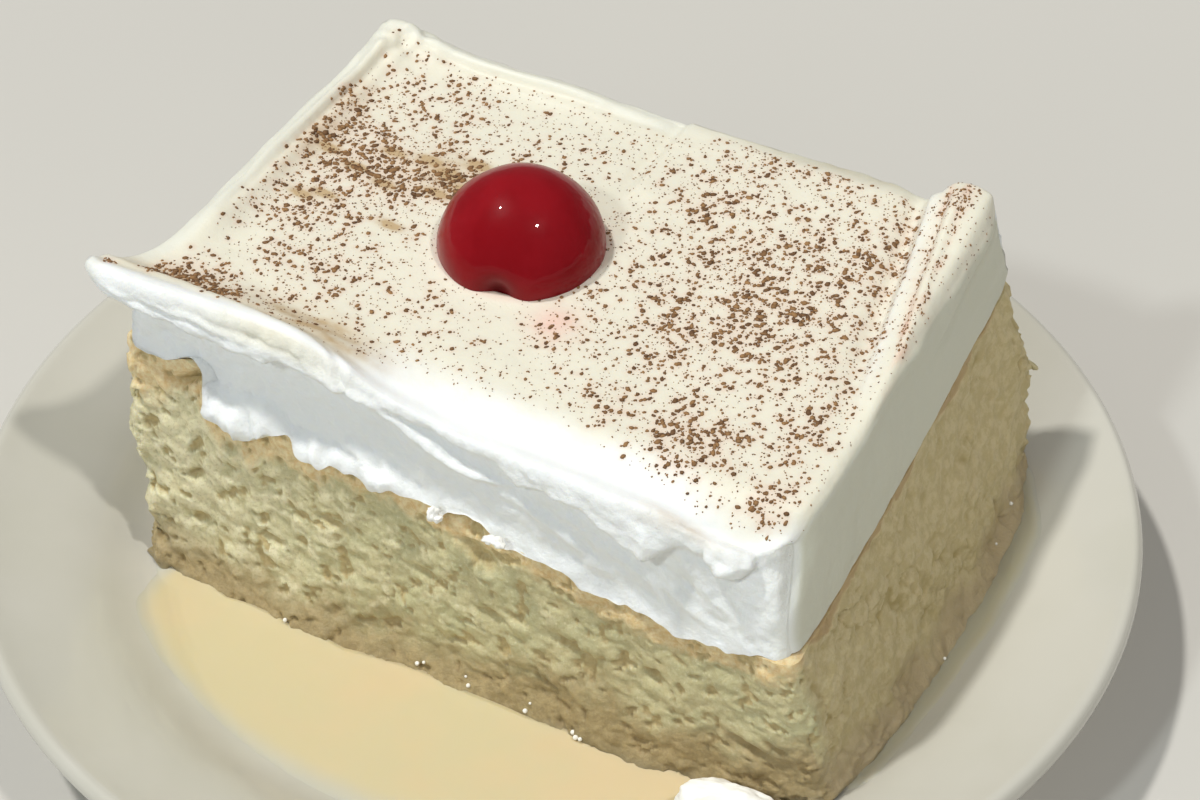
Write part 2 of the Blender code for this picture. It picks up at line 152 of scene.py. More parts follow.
def on_plate(u, v):
    x = CAKE_CENTRE[0] + u * cos(CAKE_TURN) - v * sin(CAKE_TURN)
    y = CAKE_CENTRE[1] + u * sin(CAKE_TURN) + v * cos(CAKE_TURN)
    return x, y


def well_height(u, v):
    return along(PLATE_WELL, np.hypot(*on_plate(u, v)))


def rounded(u, v):
    """Draws the corners of the rectangle in to a round."""
    left = np.where(v < 0, 2.6, 4.2)
    right = np.where(v < 0, 2.2, 3.4)
    radius = np.where(u < 0, left, right)
    inner_u, inner_v = HALF_LENGTH - radius, HALF_WIDTH - radius
    x = np.maximum((np.abs(u) - inner_u) / radius, 0)
    y = np.maximum((np.abs(v) - inner_v) / radius, 0)
    round_u = np.copysign(inner_u + radius * x * np.sqrt(1 - y * y / 2), u)
    round_v = np.copysign(inner_v + radius * y * np.sqrt(1 - x * x / 2), v)
    corner = (x > 0) & (y > 0)
    return np.where(corner, round_u, u), np.where(corner, round_v, v)


def spread(s, t, height):
    """The wall's place at this height. s and t run from -1 to 1 across the cake."""
    u, v = rounded(s * HALF_LENGTH, t * HALF_WIDTH)
    far = step(t, 0.6, 1)
    right = along(RIGHT_WALL, height) * (1 - far) + along(RIGHT_WALL_BACK, height) * far
    front = along(FRONT_WALL, height) * (0.6 + 0.4 * step(s, -1, 1))
    front += CORNER_LEAN * step(s, 0.6, 1) * step(height, 50, 34)
    for place, width, bulge in FOOT_BULGES:
        front += bulge * hill(u, place, width) * (1 - step(height, 10, 22))
    side_u = np.where(s > 0, right, along(LEFT_WALL, height))
    side_v = np.where(t > 0, along(BACK_WALL, height), front)
    return u + u / HALF_LENGTH * side_u, v + v / HALF_WIDTH * side_v


def crust_height(u, v):
    """Height of the sponge's top, which the cream lies on."""
    back = np.clip((v + HALF_WIDTH) / (2 * HALF_WIDTH), 0, 1) ** CRUST_SAG
    height = along(CRUST_FRONT, u) * (1 - back) + CRUST_BACK * back
    near_front = np.exp(-np.maximum(v + HALF_WIDTH, 0) / NOTCH_DEPTH)
    for place, width, depth in CRUST_NOTCHES:
        height += depth * hill(u, place, width) * near_front
    return height


def into_band(u, v):
    """How far a place lies past the foot of the raised band."""
    return u - (44 - 0.2 * v)


def groove_line(v, groove):
    at_back, lean = BAND_GROOVES[groove]
    return at_back + lean * (33.5 - v)


def past_cherry(u, v):
    """How far a place lies outside the cherry, seen from above."""
    return hypot(u - CHERRY_PLACE[0], v - CHERRY_PLACE[1]) - CHERRY_RADIUS


def cream_top(u, v):
    """Height of the cream's top, with its rims and its raised band."""
    across = np.clip((u + HALF_LENGTH) / (2 * HALF_LENGTH), 0, 1)
    back = np.clip((v + HALF_WIDTH) / (2 * HALF_WIDTH), 0, 1)
    front_height = 54 - 3.8 * across
    back_height = 53.6 + across
    height = front_height + (back_height - front_height) * back
    height += 0.5 * np.sin(pi * across) * np.sin(pi * back)
    from_left, from_right = u + HALF_LENGTH, HALF_LENGTH - u
    from_front, from_back = v + HALF_WIDTH, HALF_WIDTH - v
    left_rim = 1.9 * hill(from_left, 1.8, 2.6) * step(v, -26, -14)
    back_rim = 1.5 * hill(from_back, 1.8, 2.6) * (1 - step(u, -20, 0))
    height += np.maximum(left_rim, back_rim)
    height += 3.4 * hill(from_front, 1.2, 4.2) * (1 - step(u, -24, -8))
    height += 1.9 * hill(np.hypot(u + 44.5, v - 30.5), 0, 6.5)
    band, past_foot = step(v, -24, 8), into_band(u, v)
    height += 1.7 * step(past_foot, -0.6, 2.2) * band
    height -= 0.7 * hill(past_foot, -2.4, 2) * band
    height -= 2.2 * (1 - step(from_right, -1, 4)) * (0.4 + 0.6 * band)
    height += hill(past_foot, 4, 4) * step(v, 22, HALF_WIDTH)
    height -= 2.4 * (1 - step(from_front, -1, 8)) * step(u, -16, 4)
    return height - 1.8 * hill(u, 40.5, 6) * hill(from_front, 0, 4)


# Making meshes


def cut_box(cells):
    """A box from -1 to 1, cut into cells."""
    bm = bmesh.new()
    bmesh.ops.create_cube(bm, size=2)
    for axis, count in enumerate(cells):
        edges = [e for e in bm.edges if abs(e.verts[0].co[axis] - e.verts[1].co[axis]) > 1.9]
        bmesh.ops.subdivide_edges(bm, edges=edges, cuts=count - 1, use_grid_fill=True)
    return bm


def plain_side(bm, level):
    """Swaps a hidden top or bottom for one fan of faces."""
    flat = [f for f in bm.faces if all(abs(v.co.z - level) < 1e-4 for v in f.verts)]
    bmesh.ops.delete(bm, geom=flat, context="FACES")
    border = [e for e in bm.edges if e.is_boundary]
    for edge in border:
        edge.smooth = False
    fill = bmesh.ops.edgeloop_fill(bm, edges=border)["faces"]
    bmesh.ops.poke(bm, faces=fill)


def ball(subdivisions):
    """A ball of radius 1, and the direction of each of its vertices."""
    bm = bmesh.new()
    bmesh.ops.create_icosphere(bm, subdivisions=subdivisions, radius=1)
    ways = places_of(bm)
    return bm, ways / np.linalg.norm(ways, axis=1)[:, None]


def places_of(bm):
    return np.array([v.co for v in bm.verts])


def place_all(bm, places):
    for vert, place in zip(bm.verts, places.tolist()):
        vert.co = place


def normals_of(bm):
    bm.normal_update()
    return np.array([v.normal for v in bm.verts])


def soften(bm, keep, rounds, factor=0.5):
    """Smooths the vertices that keep picks out."""
    verts = [v for v, k in zip(bm.verts, keep) if k]
    for _ in range(rounds):
        bmesh.ops.smooth_vert(
            bm, verts=verts, factor=factor, use_axis_x=True, use_axis_y=True, use_axis_z=True
        )


def finish(bm, name, material, cake=True, values=None):
    """Turns the mesh onto the plate, scales it to metres and makes it a piece of the object."""
    bmesh.ops.recalc_face_normals(bm, faces=bm.faces)
    if cake:
        bmesh.ops.rotate(bm, matrix=CAKE_MATRIX, verts=bm.verts)
        bmesh.ops.translate(bm, vec=(*CAKE_CENTRE, 0), verts=bm.verts)
    bmesh.ops.scale(bm, vec=(MM, MM, MM), verts=bm.verts)
    mesh = bpy.data.meshes.new(name)
    bm.to_mesh(mesh)
    bm.free()
    return piece(mesh, name, material, values)


def put(name, data):
    """Puts a mesh, a lamp or a camera into the scene."""
    obj = bpy.data.objects.new(name, data)
    bpy.context.scene.collection.objects.link(obj)
    return obj


def piece(mesh, name, material, values=None, smooth=True):
    """Makes the mesh a piece of the object that holds these values at its vertices."""
    for label, numbers in (values or {}).items():
        layer = mesh.attributes.new(label, "FLOAT", "POINT")
        layer.data.foreach_set("value", np.asarray(numbers, np.float32))
    if smooth:
        mesh.shade_smooth()
    mesh.materials.append(material)
    obj = put(name, mesh)
    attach(obj, "root")
    return obj


# Materials


class Look:
    """A material in the making: its nodes, and the shader that they feed."""

    def __init__(self, name):
        self.material = bpy.data.materials.new(name)
        self.material.use_nodes = True
        self.tree = self.material.node_tree
        self.shader = self.tree.nodes["Principled BSDF"]

    def feed(self, inputs, sockets):
        """Links what other nodes give, and sets plain numbers and colours on the sockets."""
        for label, value in inputs.items():
            if isinstance(value, bpy.types.NodeSocket):
                self.tree.links.new(value, sockets[label])
            elif sockets[label].type == "RGBA":
                sockets[label].default_value = (*value, 1)
            else:
                sockets[label].default_value = value

    def surface(self, inputs):
        self.feed(inputs, self.shader.inputs)

    def node(self, kind, inputs, **settings):
        """The outputs of a new node."""
        node = self.tree.nodes.new("ShaderNode" + kind)
        for label, setting in settings.items():
            setattr(node, label, setting)
        self.feed(inputs, node.inputs)
        return node.outputs

    def value_of(self, label):
        """The number that a mesh holds under this label."""
        return self.node("Attribute", {}, attribute_name=label)["Fac"]

    def speckle(self, size, detail=2, rough=0.5, stretch=(1, 1, 1)):
        """Noise with lumps of this size in millimetres."""
        where = self.node("TexCoord", {})["Object"]
        where = self.node("Mapping", {"Vector": where, "Scale": stretch})["Vector"]
        inputs = {"Vector": where, "Scale": 1 / (size * MM), "Detail": detail, "Roughness": rough}
        return self.node("TexNoise", inputs)["Fac"]

    def reckon(self, kind, *values):
        return self.node("Math", dict(enumerate(values)), operation=kind)["Value"]

    def plus(self, first, second):
        return self.reckon("ADD", first, second)

    def times(self, first, second):
        return self.reckon("MULTIPLY", first, second)

    def between(self, value, low, high, out_low=0, out_high=1):
        """Maps low..high to out_low..out_high, clamped and smooth."""
        inputs = dict(enumerate((value, low, high, out_low, out_high)))
        return self.node("MapRange", inputs, interpolation_type="SMOOTHSTEP")["Result"]

    def blend(self, share, first, second):
        return self.node("Mix", {0: share, 6: first, 7: second}, data_type="RGBA")[2]

    def coat(self, under, paint, value, low, high, most=1):
        """Lays paint over a colour, from none to the most as the value goes from low to high."""
        return self.blend(self.between(value, low, high, 0, most), under, paint)

    def dent(self, height, distance, strength):
        """Bump of this depth in millimetres."""
        inputs = {"Height": height, "Distance": distance * MM, "Strength": strength}
        self.surface({"Normal": self.node("Bump", inputs)["Normal"]})

    def glow(self, weight, reach):
        """Light that spreads under the surface, by reach in millimetres for red, green and blue."""
        self.surface({
            "Subsurface Weight": weight, "Subsurface Radius": reach, "Subsurface Scale": MM,
        })


def plate_glaze():
    look = Look("plate_glaze")
    clouds = look.speckle(22, 3)
    look.surface({
        "Base Color": look.coat((0.555, 0.54, 0.47), (0.58, 0.563, 0.5), clouds, 0.35, 0.65),
        "Roughness": look.between(look.speckle(9, 4, 0.6), 0.3, 0.75, 0.1, 0.24),
        "Coat Weight": 0.4,
        "Coat Roughness": 0.06,
    })
    look.dent(look.speckle(6, 1), 0.02, 0.3)
    return look.material


def milk_surface():
    look = Look("milk")
    clouds = look.speckle(16, 3)
    body = look.coat((0.615, 0.535, 0.33), (0.655, 0.53, 0.325), clouds, 0.35, 0.7)
    # The film at the right foot is painted darker: a painted reflection of the sponge next to the
    # foot, and painted shade further out.
    body = look.blend(look.value_of("reflection_and_shade"), body, (0.43, 0.405, 0.305))
    colour = look.coat(body, (0.545, 0.525, 0.435), look.value_of("thin"), 0.15, 0.95)
    look.surface({"Base Color": colour, "Roughness": 0.16, "IOR": 1.35})
    look.glow(0.3, (2, 1.5, 0.8))
    return look.material


def wet_bead():
    # Near white, so that the beads show as painted glints.
    look = Look("wet_bead")
    look.surface({
        "Base Color": (0.95, 0.93, 0.86), "Roughness": 0.05,
        "Coat Weight": 1, "Coat Roughness": 0.02,
    })
    return look.material


SPONGE_TONES = ("hollow_brown_and_shade", "tint_and_highlight", "crust", "soak_and_foot_shade", "side")


def sponge_crumb():
    look = Look("sponge_crumb")
    hollow_brown_and_shade, tint_and_highlight, crust, soak_and_foot_shade, side = map(look.value_of, SPONGE_TONES)
    broken, grit = look.speckle(1.8, 5, 0.7), look.speckle(0.5, 3, 0.7)
    grainy = look.between(look.speckle(0.8, 4, 0.65), 0.3, 0.7)

    def ragged(value, share):
        """The value, with an uneven edge to it."""
        return look.plus(value, look.times(broken, share))

    broad = look.speckle(6, 3, 0.6)
    pale = look.coat((0.59, 0.56, 0.33), (0.66, 0.6, 0.355), broad, 0.35, 0.65)
    # Raised grain is painted paler as a highlight, with some paler tone at random on the cut side;
    # the tiny pale specks are painted highlights, and the dark specks are grain.
    pale = look.coat(pale, (0.84, 0.775, 0.52), ragged(tint_and_highlight, 1.4), 0.9, 2)
    pale = look.coat(pale, (0.5, 0.445, 0.23), grit, 0.5, 0.34, 0.45)
    pale = look.coat(pale, (0.86, 0.81, 0.57), grit, 0.56, 0.7, 0.45)
    tanned = look.blend(grainy, (0.8, 0.55, 0.255), (0.95, 0.79, 0.49))
    edge = ragged(crust, 0.9)
    pale = look.coat(pale, tanned, edge, 0.6, 1.2, 0.85)
    # Hollows and the cracks of the cut side are painted brown and darker: the crumb's own browner
    # tone and painted shade.
    brown = look.blend(grainy, (0.53, 0.405, 0.19), (0.66, 0.535, 0.28))
    colour = look.coat(pale, brown, ragged(hollow_brown_and_shade, 0.7), 0.54, 1.15, 0.85)
    clods = look.coat((0.59, 0.48, 0.25), (0.7, 0.585, 0.345), broken, 0.4, 0.62)
    cracked = look.coat(clods, (0.42, 0.33, 0.13), hollow_brown_and_shade, 0.2, 0.9, 0.8)
    colour = look.blend(look.times(side, 0.85), colour, cracked)
    # The reddish line where the knife drew cream and crust together
    rusty = look.times(side, look.between(edge, 1.05, 1.5, 0, 0.7))
    colour = look.blend(rusty, colour, (0.47, 0.315, 0.16))
    wet = look.coat((0.285, 0.197, 0.088), (0.425, 0.31, 0.152), broken, 0.38, 0.64)
    wet = look.blend(side, wet, (0.51, 0.405, 0.25))
    soaked = look.between(ragged(soak_and_foot_shade, 0.5), 0.3, 1.25, 0, 0.82)
    colour = look.blend(soaked, colour, wet)
    # Darkest at the very foot, as painted contact shade.
    colour = look.coat(colour, (0.27, 0.225, 0.135), soak_and_foot_shade, 1.05, 1.5, 0.7)
    rough = look.between(look.plus(soaked, look.speckle(2.2, 3)), 0.5, 1.2, 0.66, 0.34)
    look.surface({"Base Color": colour, "Roughness": rough, "Specular IOR Level": 0.3})
    look.glow(0.3, (1.4, 1.1, 0.6))
    look.dent(look.speckle(0.65, 5, 0.75), 0.4, 0.75)
    return look.material


CREAM_TONES = ("warm", "dusted", "stain_and_shade", "pink", "side", "torn")


def whipped_cream():
    look = Look("whipped_cream")
    warm, dusted, stain_and_shade, pink, side, torn = map(look.value_of, CREAM_TONES)
    veil = look.times(stain_and_shade, look.between(look.speckle(1.2, 4, 0.6), 0.25, 0.7, 0.6, 1))
    colour = (0.89, 0.912, 0.91)
    # The grey-olive paint is painted shade, and the brown veil is stain with some painted shade.
    for share, paint in (
        (warm, (0.8, 0.775, 0.65)),
        (side, (0.655, 0.655, 0.54)),
        (dusted, (0.76, 0.55, 0.43)),
        (look.reckon("MINIMUM", veil, 0.85), (0.5, 0.345, 0.17)),
        (pink, (0.87, 0.53, 0.45)),
    ):
        colour = look.blend(share, colour, paint)
    look.surface({"Base Color": colour, "Roughness": 0.45, "Specular IOR Level": 0.35})
    look.glow(0.25, (1.6, 1.4, 1.1))
    look.dent(look.times(look.speckle(1.1, 5, 0.65), look.plus(torn, 0.35)), 0.32, 0.6)
    return look.material


def cinnamon_bark():
    look = Look("cinnamon")
    colour = look.blend(look.value_of("tone"), (0.135, 0.066, 0.028), (0.34, 0.185, 0.075))
    look.surface({"Base Color": colour, "Roughness": 0.8})
    look.dent(look.speckle(0.2, 2), 0.05, 0.5)
    return look.material


def cherry_skin():
    look = Look("cherry_red")
    clouds = look.speckle(7, 3)
    red = look.coat((0.225, 0.004, 0.008), (0.26, 0.006, 0.011), clouds, 0.35, 0.65)
    # The dimple is painted a darker red, as shade.
    look.surface({
        "Base Color": look.blend(look.value_of("dimple"), red, (0.11, 0.001, 0.003)),
        "Roughness": 0.38, "Specular IOR Level": 0.04,
        "Coat Weight": 0.5, "Coat Roughness": 0.02, "Coat IOR": 1.35,
    })
    look.glow(0.35, (3, 0.25, 0.25))
    look.dent(look.speckle(0.8, 3, 0.6, (1, 1, 0.25)), 0.03, 0.2)
    return look.material


def table_top():
    look = Look("table_top")
    clouds = look.speckle(180, 2)
    look.surface({
        "Base Color": look.coat((0.572, 0.556, 0.517), (0.592, 0.575, 0.535), clouds, 0.3, 0.7),
        "Roughness": 0.6,
    })
    return look.material


# Plate


def make_plate():
    bm = bmesh.new()
    profile = PLATE_WELL + PLATE_EDGE + PLATE_UNDERSIDE
    verts = [bm.verts.new((radius, 0, height)) for radius, height in profile]
    edges = [bm.edges.new(pair) for pair in zip(verts, verts[1:])]
    bmesh.ops.spin(
        bm, geom=verts + edges, cent=(0, 0, 0), axis=(0, 0, 1), angle=2 * pi, steps=96,
        use_merge=True, use_duplicate=False,
    )
    bmesh.ops.remove_doubles(bm, verts=bm.verts, dist=0.001)
    plate = finish(bm, "plate_turned", plate_glaze(), cake=False)
    smooth = plate.modifiers.new("smooth", "SUBSURF")
    smooth.levels = smooth.render_levels = 1
    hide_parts("plate")


# Milk

MILK_LEVEL, MILK_FILM, SIDE_FILM = 8.8, 0.6, 0.35
# How far the rim of the milk dips under the glaze
DIP = 0.3
# Where the pool begins and ends along the cake's front, and its shore as (angle, distance)
MILK_FROM, MILK_TO = -48.5, 41
MILK_SHORE = (
    (-177, 62.2), (-170, 62), (-158, 61), (-147, 59.4), (-135, 58.2), (-120, 57.4),
    (-105, 57.4), (-90, 57.2), (-70, 56.8),
)
# The film round the cake's right foot, as (v, width)
RIGHT_FILM = (
    (-37, 0.6), (-30, 3.2), (-10, 4), (5, 4.4), (16, 4.4), (25, 3.6), (32, 2.4), (38, 0.6),
)


def pool(near, far, ends, level, depth, edge_width):
    """A sheet of milk from the cake's foot to its shore, as a mesh with its edge's thinness. Its
    rim dips just under the glaze, so that it ends in no step."""
    columns, rows = near.shape[0], 40
    bm = bmesh.new()
    bmesh.ops.create_grid(bm, x_segments=columns - 1, y_segments=rows, size=0.5)
    grid = places_of(bm)
    column = np.rint((grid[:, 0] + 0.5) * (columns - 1)).astype(int)
    out = 0.5 - grid[:, 1]
    place = near[column] + (far[column] - near[column]) * out[:, None]
    from_foot = np.hypot(*(place - near[column]).T)
    to_shore = np.hypot(*(far[column] - place).T) * ends[column]
    bed = along(PLATE_WELL, np.hypot(place[:, 0], place[:, 1])) + 0.12
    film = (depth + DIP) * step(to_shore, 0, edge_width) - DIP
    top = np.maximum(np.minimum(level, bed + film + 1.2 * step(to_shore, 0, 2)), bed + film)
    top += 0.3 * np.exp(-from_foot / 0.8) * ends[column]
    thin = 1 - step(to_shore, 0.3, edge_width)
    place_all(bm, np.column_stack([place, top]))
    below = bmesh.ops.extrude_face_region(bm, geom=bm.faces[:])["geom"]
    for vert in (part for part in below if isinstance(part, bmesh.types.BMVert)):
        vert.co.z = along(PLATE_WELL, vert.co.xy.length) - DIP - 0.1
    return bm, np.tile(thin, 2), np.tile(from_foot, 2)


def make_milk():
    """The pool along the front, and the film that has seeped out at the right foot."""
    milk_look = milk_surface()
    share = np.linspace(0, 1, 221)
    u = MILK_FROM + (MILK_TO - MILK_FROM) * share
    foot = spread(u / HALF_LENGTH, np.full_like(u, -1), np.full_like(u, MILK_LEVEL))[1]
    near = np.stack(on_plate(u, foot + 1.2 - along(FRONT_SAG, u)), 1)
    angle = MILK_SHORE[0][0] + (MILK_SHORE[-1][0] - MILK_SHORE[0][0]) * share
    reach = along(MILK_SHORE, angle) + 0.35 * ripples(points_at(angle * 0.35), 2.2)
    far = np.stack([reach * np.cos(np.radians(angle)), reach * np.sin(np.radians(angle))], 1)
    ends = step(share, 0, 0.14) * (1 - step(share, 0.97, 1))
    bm, thin, _ = pool(near, far, ends, MILK_LEVEL, MILK_FILM, 9)
    values = {"thin": thin, "reflection_and_shade": 0 * thin}
    milk = finish(bm, "milk_pool", milk_look, cake=False, values=values)
    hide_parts("milk")

    v = np.linspace(RIGHT_FILM[0][0], RIGHT_FILM[-1][0], 161)
    u = spread(np.ones_like(v), v / HALF_WIDTH, np.full_like(v, 9.5))[0]
    width = along(RIGHT_FILM, v) + 0.3 * ripples(points_at(v), 6)
    u += along(RIGHT_SAG, v)
    near, far = (np.stack(on_plate(u + more, v), 1) for more in (-1.2, width))
    ends = step(v, -37, -31) * (1 - step(v, 31, 38))
    bm, thin, from_foot = pool(near, far, ends, 0, SIDE_FILM, 3.6)
    # Fully painted darker next to the foot and half as much further out, as painted reflection and
    # shade.
    values = {"thin": thin, "reflection_and_shade": 1 - 0.5 * step(from_foot, 1.4, 5)}
    finish(bm, "milk_film", milk_look, cake=False, values=values)


# Sponge

SPONGE_CELLS = (250, 176, 96)
# Slits and hollows that show at the front, as (u, z, half length, half height, slope, depth)
FRONT_PITS = (
    (3.2, 36.7, 3.8, 1.1, -0.35, 3.2), (-38.4, 42.4, 3.6, 0.8, 0, 2.4),
    (-38.6, 26.2, 1.8, 0.7, -0.1, 1.1), (-17.6, 27.3, 2.6, 0.7, -0.2, 1.2),
    (4.9, 31.3, 2.6, 1.7, -0.3, 1.7), (6.5, 21.9, 1.8, 0.7, -0.2, 1.1),
    (10.4, 23.2, 2, 0.7, -0.2, 1.1), (19, 21.9, 2.8, 0.9, -0.2, 1.2),
    (30.9, 22.5, 1.4, 0.9, 0, 1.2), (44.7, 16.5, 2.8, 0.8, -0.2, 1.4),
    (-3, 24.5, 2.2, 0.7, -0.2, 1), (-27, 20.5, 2.4, 0.7, -0.1, 1),
)
# The same on the right side, as (v, z, half length, half height, slope, depth)
SIDE_PITS = (
    (19.2, 15.6, 0.55, 1.5, 0, 1.5), (20.4, 11.6, 0.45, 1.1, 0, 1.1),
    (16.2, 11, 0.4, 0.8, 0, 0.9), (-22.2, 30.5, 0.9, 0.6, -0.5, 0.9),
    (-5.7, 22.8, 0.5, 0.8, 0, 0.8),
)


def warp(points, size):
    """Shifts that make cells of noise ragged."""
    return np.stack([ripples(points, size, shift) for shift in (1, 6, 12)], 1)


def torn_crumb(points):
    """Crumb that broke away in small ragged clumps: how far it stands out, how much each point is
    painted brown and dark for lying in a hollow, partly as painted shade, and how much of a raised
    grain it is, which is painted paler as a highlight."""
    bent = (points + 0.9 * warp(points, 1.4)) * [0.85, 0.85, 1]
    clump, _, which = lumps(bent, 1.9)
    near, _, _ = lumps(bent * [1.1, 1.1, 1], 0.9, 5)
    torn = ripples(bent, 2.2, 3) + 0.5 * ripples(points, 0.8, 5)
    holes = ripples(bent, 2.1, 7) + 0.5 * ripples(points, 0.9, 9)
    hole = step(holes, 0.24, 0.52)
    out = 0.6 * ripples(points, 5.2) + 0.6 * (0.5 - clump) + 0.18 * (0.5 - near)
    out = out + 0.22 * torn - 0.55 * hole
    # Holes are painted brown and dark, partly as shade, and the valleys between clumps are painted
    # darker as shade.
    hollow_brown_and_shade = 0.85 * hole + 0.34 * step(clump, 0.42, 0.8) + 0.14 * step(-torn, 0.15, 0.8)
    grain = step(torn, -0.15, 0.75) * (0.4 + 0.6 * which) * (1 - hole)
    return out, np.clip(hollow_brown_and_shade, 0, 1), grain


def cut_crumb(points):
    """Wet crumb under the knife: soft clumps with cracks between some of them."""
    bend = warp(points, 2.6)
    _, gap, which = lumps(points + 2.6 * bend, 4.6, 17)
    crack = (1 - step(gap, 0.03, 0.13)) * step(ripples(points, 7, 13), -0.1, 0.2)
    small, _, _ = lumps(points + bend, 1.7, 17)
    lump = ripples(points, 4.6, 21) + 0.6 * ripples(points, 2, 2)
    out = 0.6 * lump + 0.26 * (0.5 - small) - 0.26 * crack
    # Cracks and the low places between lumps are painted darker and browner, partly as shade.
    hollow_brown_and_shade = 0.45 * crack + 0.3 * step(-lump, 0.1, 0.6) + 0.25 * step(small, 0.4, 0.8)
    return out, np.clip(hollow_brown_and_shade, 0, 1), 0.5 * which


def make_sponge():
    bm = cut_box(SPONGE_CELLS)
    for level in (-1, 1):
        plain_side(bm, level)
    box = places_of(bm)
    s, t, w = box[:, 0], box[:, 1], (box[:, 2] + 1) / 2
    flat_u, flat_v = s * HALF_LENGTH, t * HALF_WIDTH
    foot = well_height(flat_u, flat_v) + GAP
    height = foot + (crust_height(flat_u, flat_v) - foot) * w
    u, v = spread(s, t, height)
    wall_u, wall_v = np.abs(s) > 0.999, np.abs(t) > 0.999
    wall = wall_u | wall_v
    points = points_at(u, v, height)
    # The knife has smoothed the right side, but not its two upright edges
    on_right = step(s, 0.985, 1)
    smooth_cut = on_right * step(t, -1, -0.86) * (1 - 0.8 * step(t, 0.88, 1))
    torn, cut = torn_crumb(points[wall]), cut_crumb(points[wall])
    out, hollow_brown_and_shade, tint_and_highlight = (np.zeros(len(u)) for _ in range(3))
    for values, rough, even in zip((out, hollow_brown_and_shade, tint_and_highlight), torn, cut):
        values[wall] = rough * (1 - smooth_cut[wall]) + even * smooth_cut[wall]
    front, right = wall_v & (t < 0), wall_u & (s > 0)
    # Pits are cut in and painted brown and dark, partly as shade.
    for pits, side, across in ((FRONT_PITS, front, u), (SIDE_PITS, right, v)):
        for place, level, half, tall, slope, depth in pits:
            line = level + slope * (across - place)
            pit = hill(across, place, half) * hill(height, line, tall) * side
            out -= depth * pit
            hollow_brown_and_shade = np.maximum(hollow_brown_and_shade, np.minimum(0.75 * depth, 1.1) * pit)
    out = out * step(height - foot, -1.5, 1) * (1 - 0.45 * step(w, 0.9, 1))
    # The crumb breaks away most at the upright edges
    left_edge = hill((s + 1) * HALF_LENGTH, 0, 3.5) * (t < -0.9)
    back_edge = hill((1 - t) * HALF_WIDTH, 0, 3.5) * (s > 0.9)
    out *= 1 + 1.1 * left_edge + 1.1 * back_edge
    # Along the front, the painted highlight on the raised grain is stronger towards the left end
    # and weaker towards the right.
    tint_and_highlight += front * (1.05 * (1 - step(u, -46, 10)) - 0.75 * step(u, 2, 30)) * (1 - hollow_brown_and_shade)
    sag = np.where(front, along(FRONT_SAG, u), 0) + np.where(right, along(RIGHT_SAG, v), 0)
    out += sag * (1.25 - 1.25 * step(height - foot, -3.2, 5.5))
    u += wall_u * out * np.sign(s) * np.where(wall_v, 0.7, 1)
    v += wall_v * out * np.sign(t) * np.where(wall_u, 0.7, 1)
    foot = well_height(u, v) + GAP
    z = foot + (crust_height(u, v) - foot) * w
    places = points_at(u, v, z)
    place_all(bm, places)
    below_cream = crust_height(u, v) - z
    drift = ripples(places, 7, 2) + 0.5 * ripples(places, 2.4, 9)
    at_side = on_right * step((t + 1) * HALF_WIDTH + 1.5 * drift, 0.3, 4)
    above = z - foot
    soak_top = (13.5 + 6.5 * drift) * (1 - at_side) + (9.5 + 5 * drift) * at_side
    crust_reach = 5.6 + 2.9 * (1 - step(u, -30, 0)) + 3 * hill(u, -46, 12)
    crust_reach *= 1 - 0.68 * at_side
    # How soaked the crumb is near its foot; past 1 at the very foot of the front, where the colour
    # is painted darker as contact shade.
    soak_and_foot_shade = 1 - step(above, 0, np.maximum(soak_top, 3)) + 0.5 * front * (1 - step(above, 0.2, 2.2))
    values = {
        "hollow_brown_and_shade": hollow_brown_and_shade,
        "tint_and_highlight": tint_and_highlight,
        "crust": 1 - step(below_cream + 1.8 * drift, 0.5, crust_reach),
        "soak_and_foot_shade": soak_and_foot_shade + 0.3 * front * step(u, 0, 22),
        "side": at_side,
    }
    sponge = finish(bm, "sponge_cut", sponge_crumb(), values=values)
    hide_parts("sponge")
    return sponge


# Cream

CREAM_CELLS = (250, 150, 46)
# The bright ledge along the front, as (u, drop below the edge, how far out, how far in under it)
FRONT_LEDGE = (
    (-50, 1.2, 1.4, 0.2), (-44, 2.6, 2, 0.5), (-38, 3.4, 2.2, 0.9), (-32, 3.8, 2.3, 1),
    (-26, 3.6, 2, 1), (-20, 2.6, 1.7, 0.9), (-15.5, 2.6, 1.6, 0.7), (-12.5, 1.6, 0.9, 0.4),
    (-8, 0.7, 0.6, 0.4), (2, 0.7, 0.6, 0.3), (7, 1, 0.8, 0.3), (11, 2.6, 1.5, 0.3),
    (16, 2.4, 1.5, 0.3), (20, 2.8, 1.6, 0.3), (24, 4.4, 1.9, 0.3), (29.4, 6, 2.6, 0.3),
    (31.2, 4.4, 1.7, 0.2), (34, 1.8, 0.8, 0.1), (38, 1.2, 0.5, 0), (50, 0.8, 0.2, 0),
)
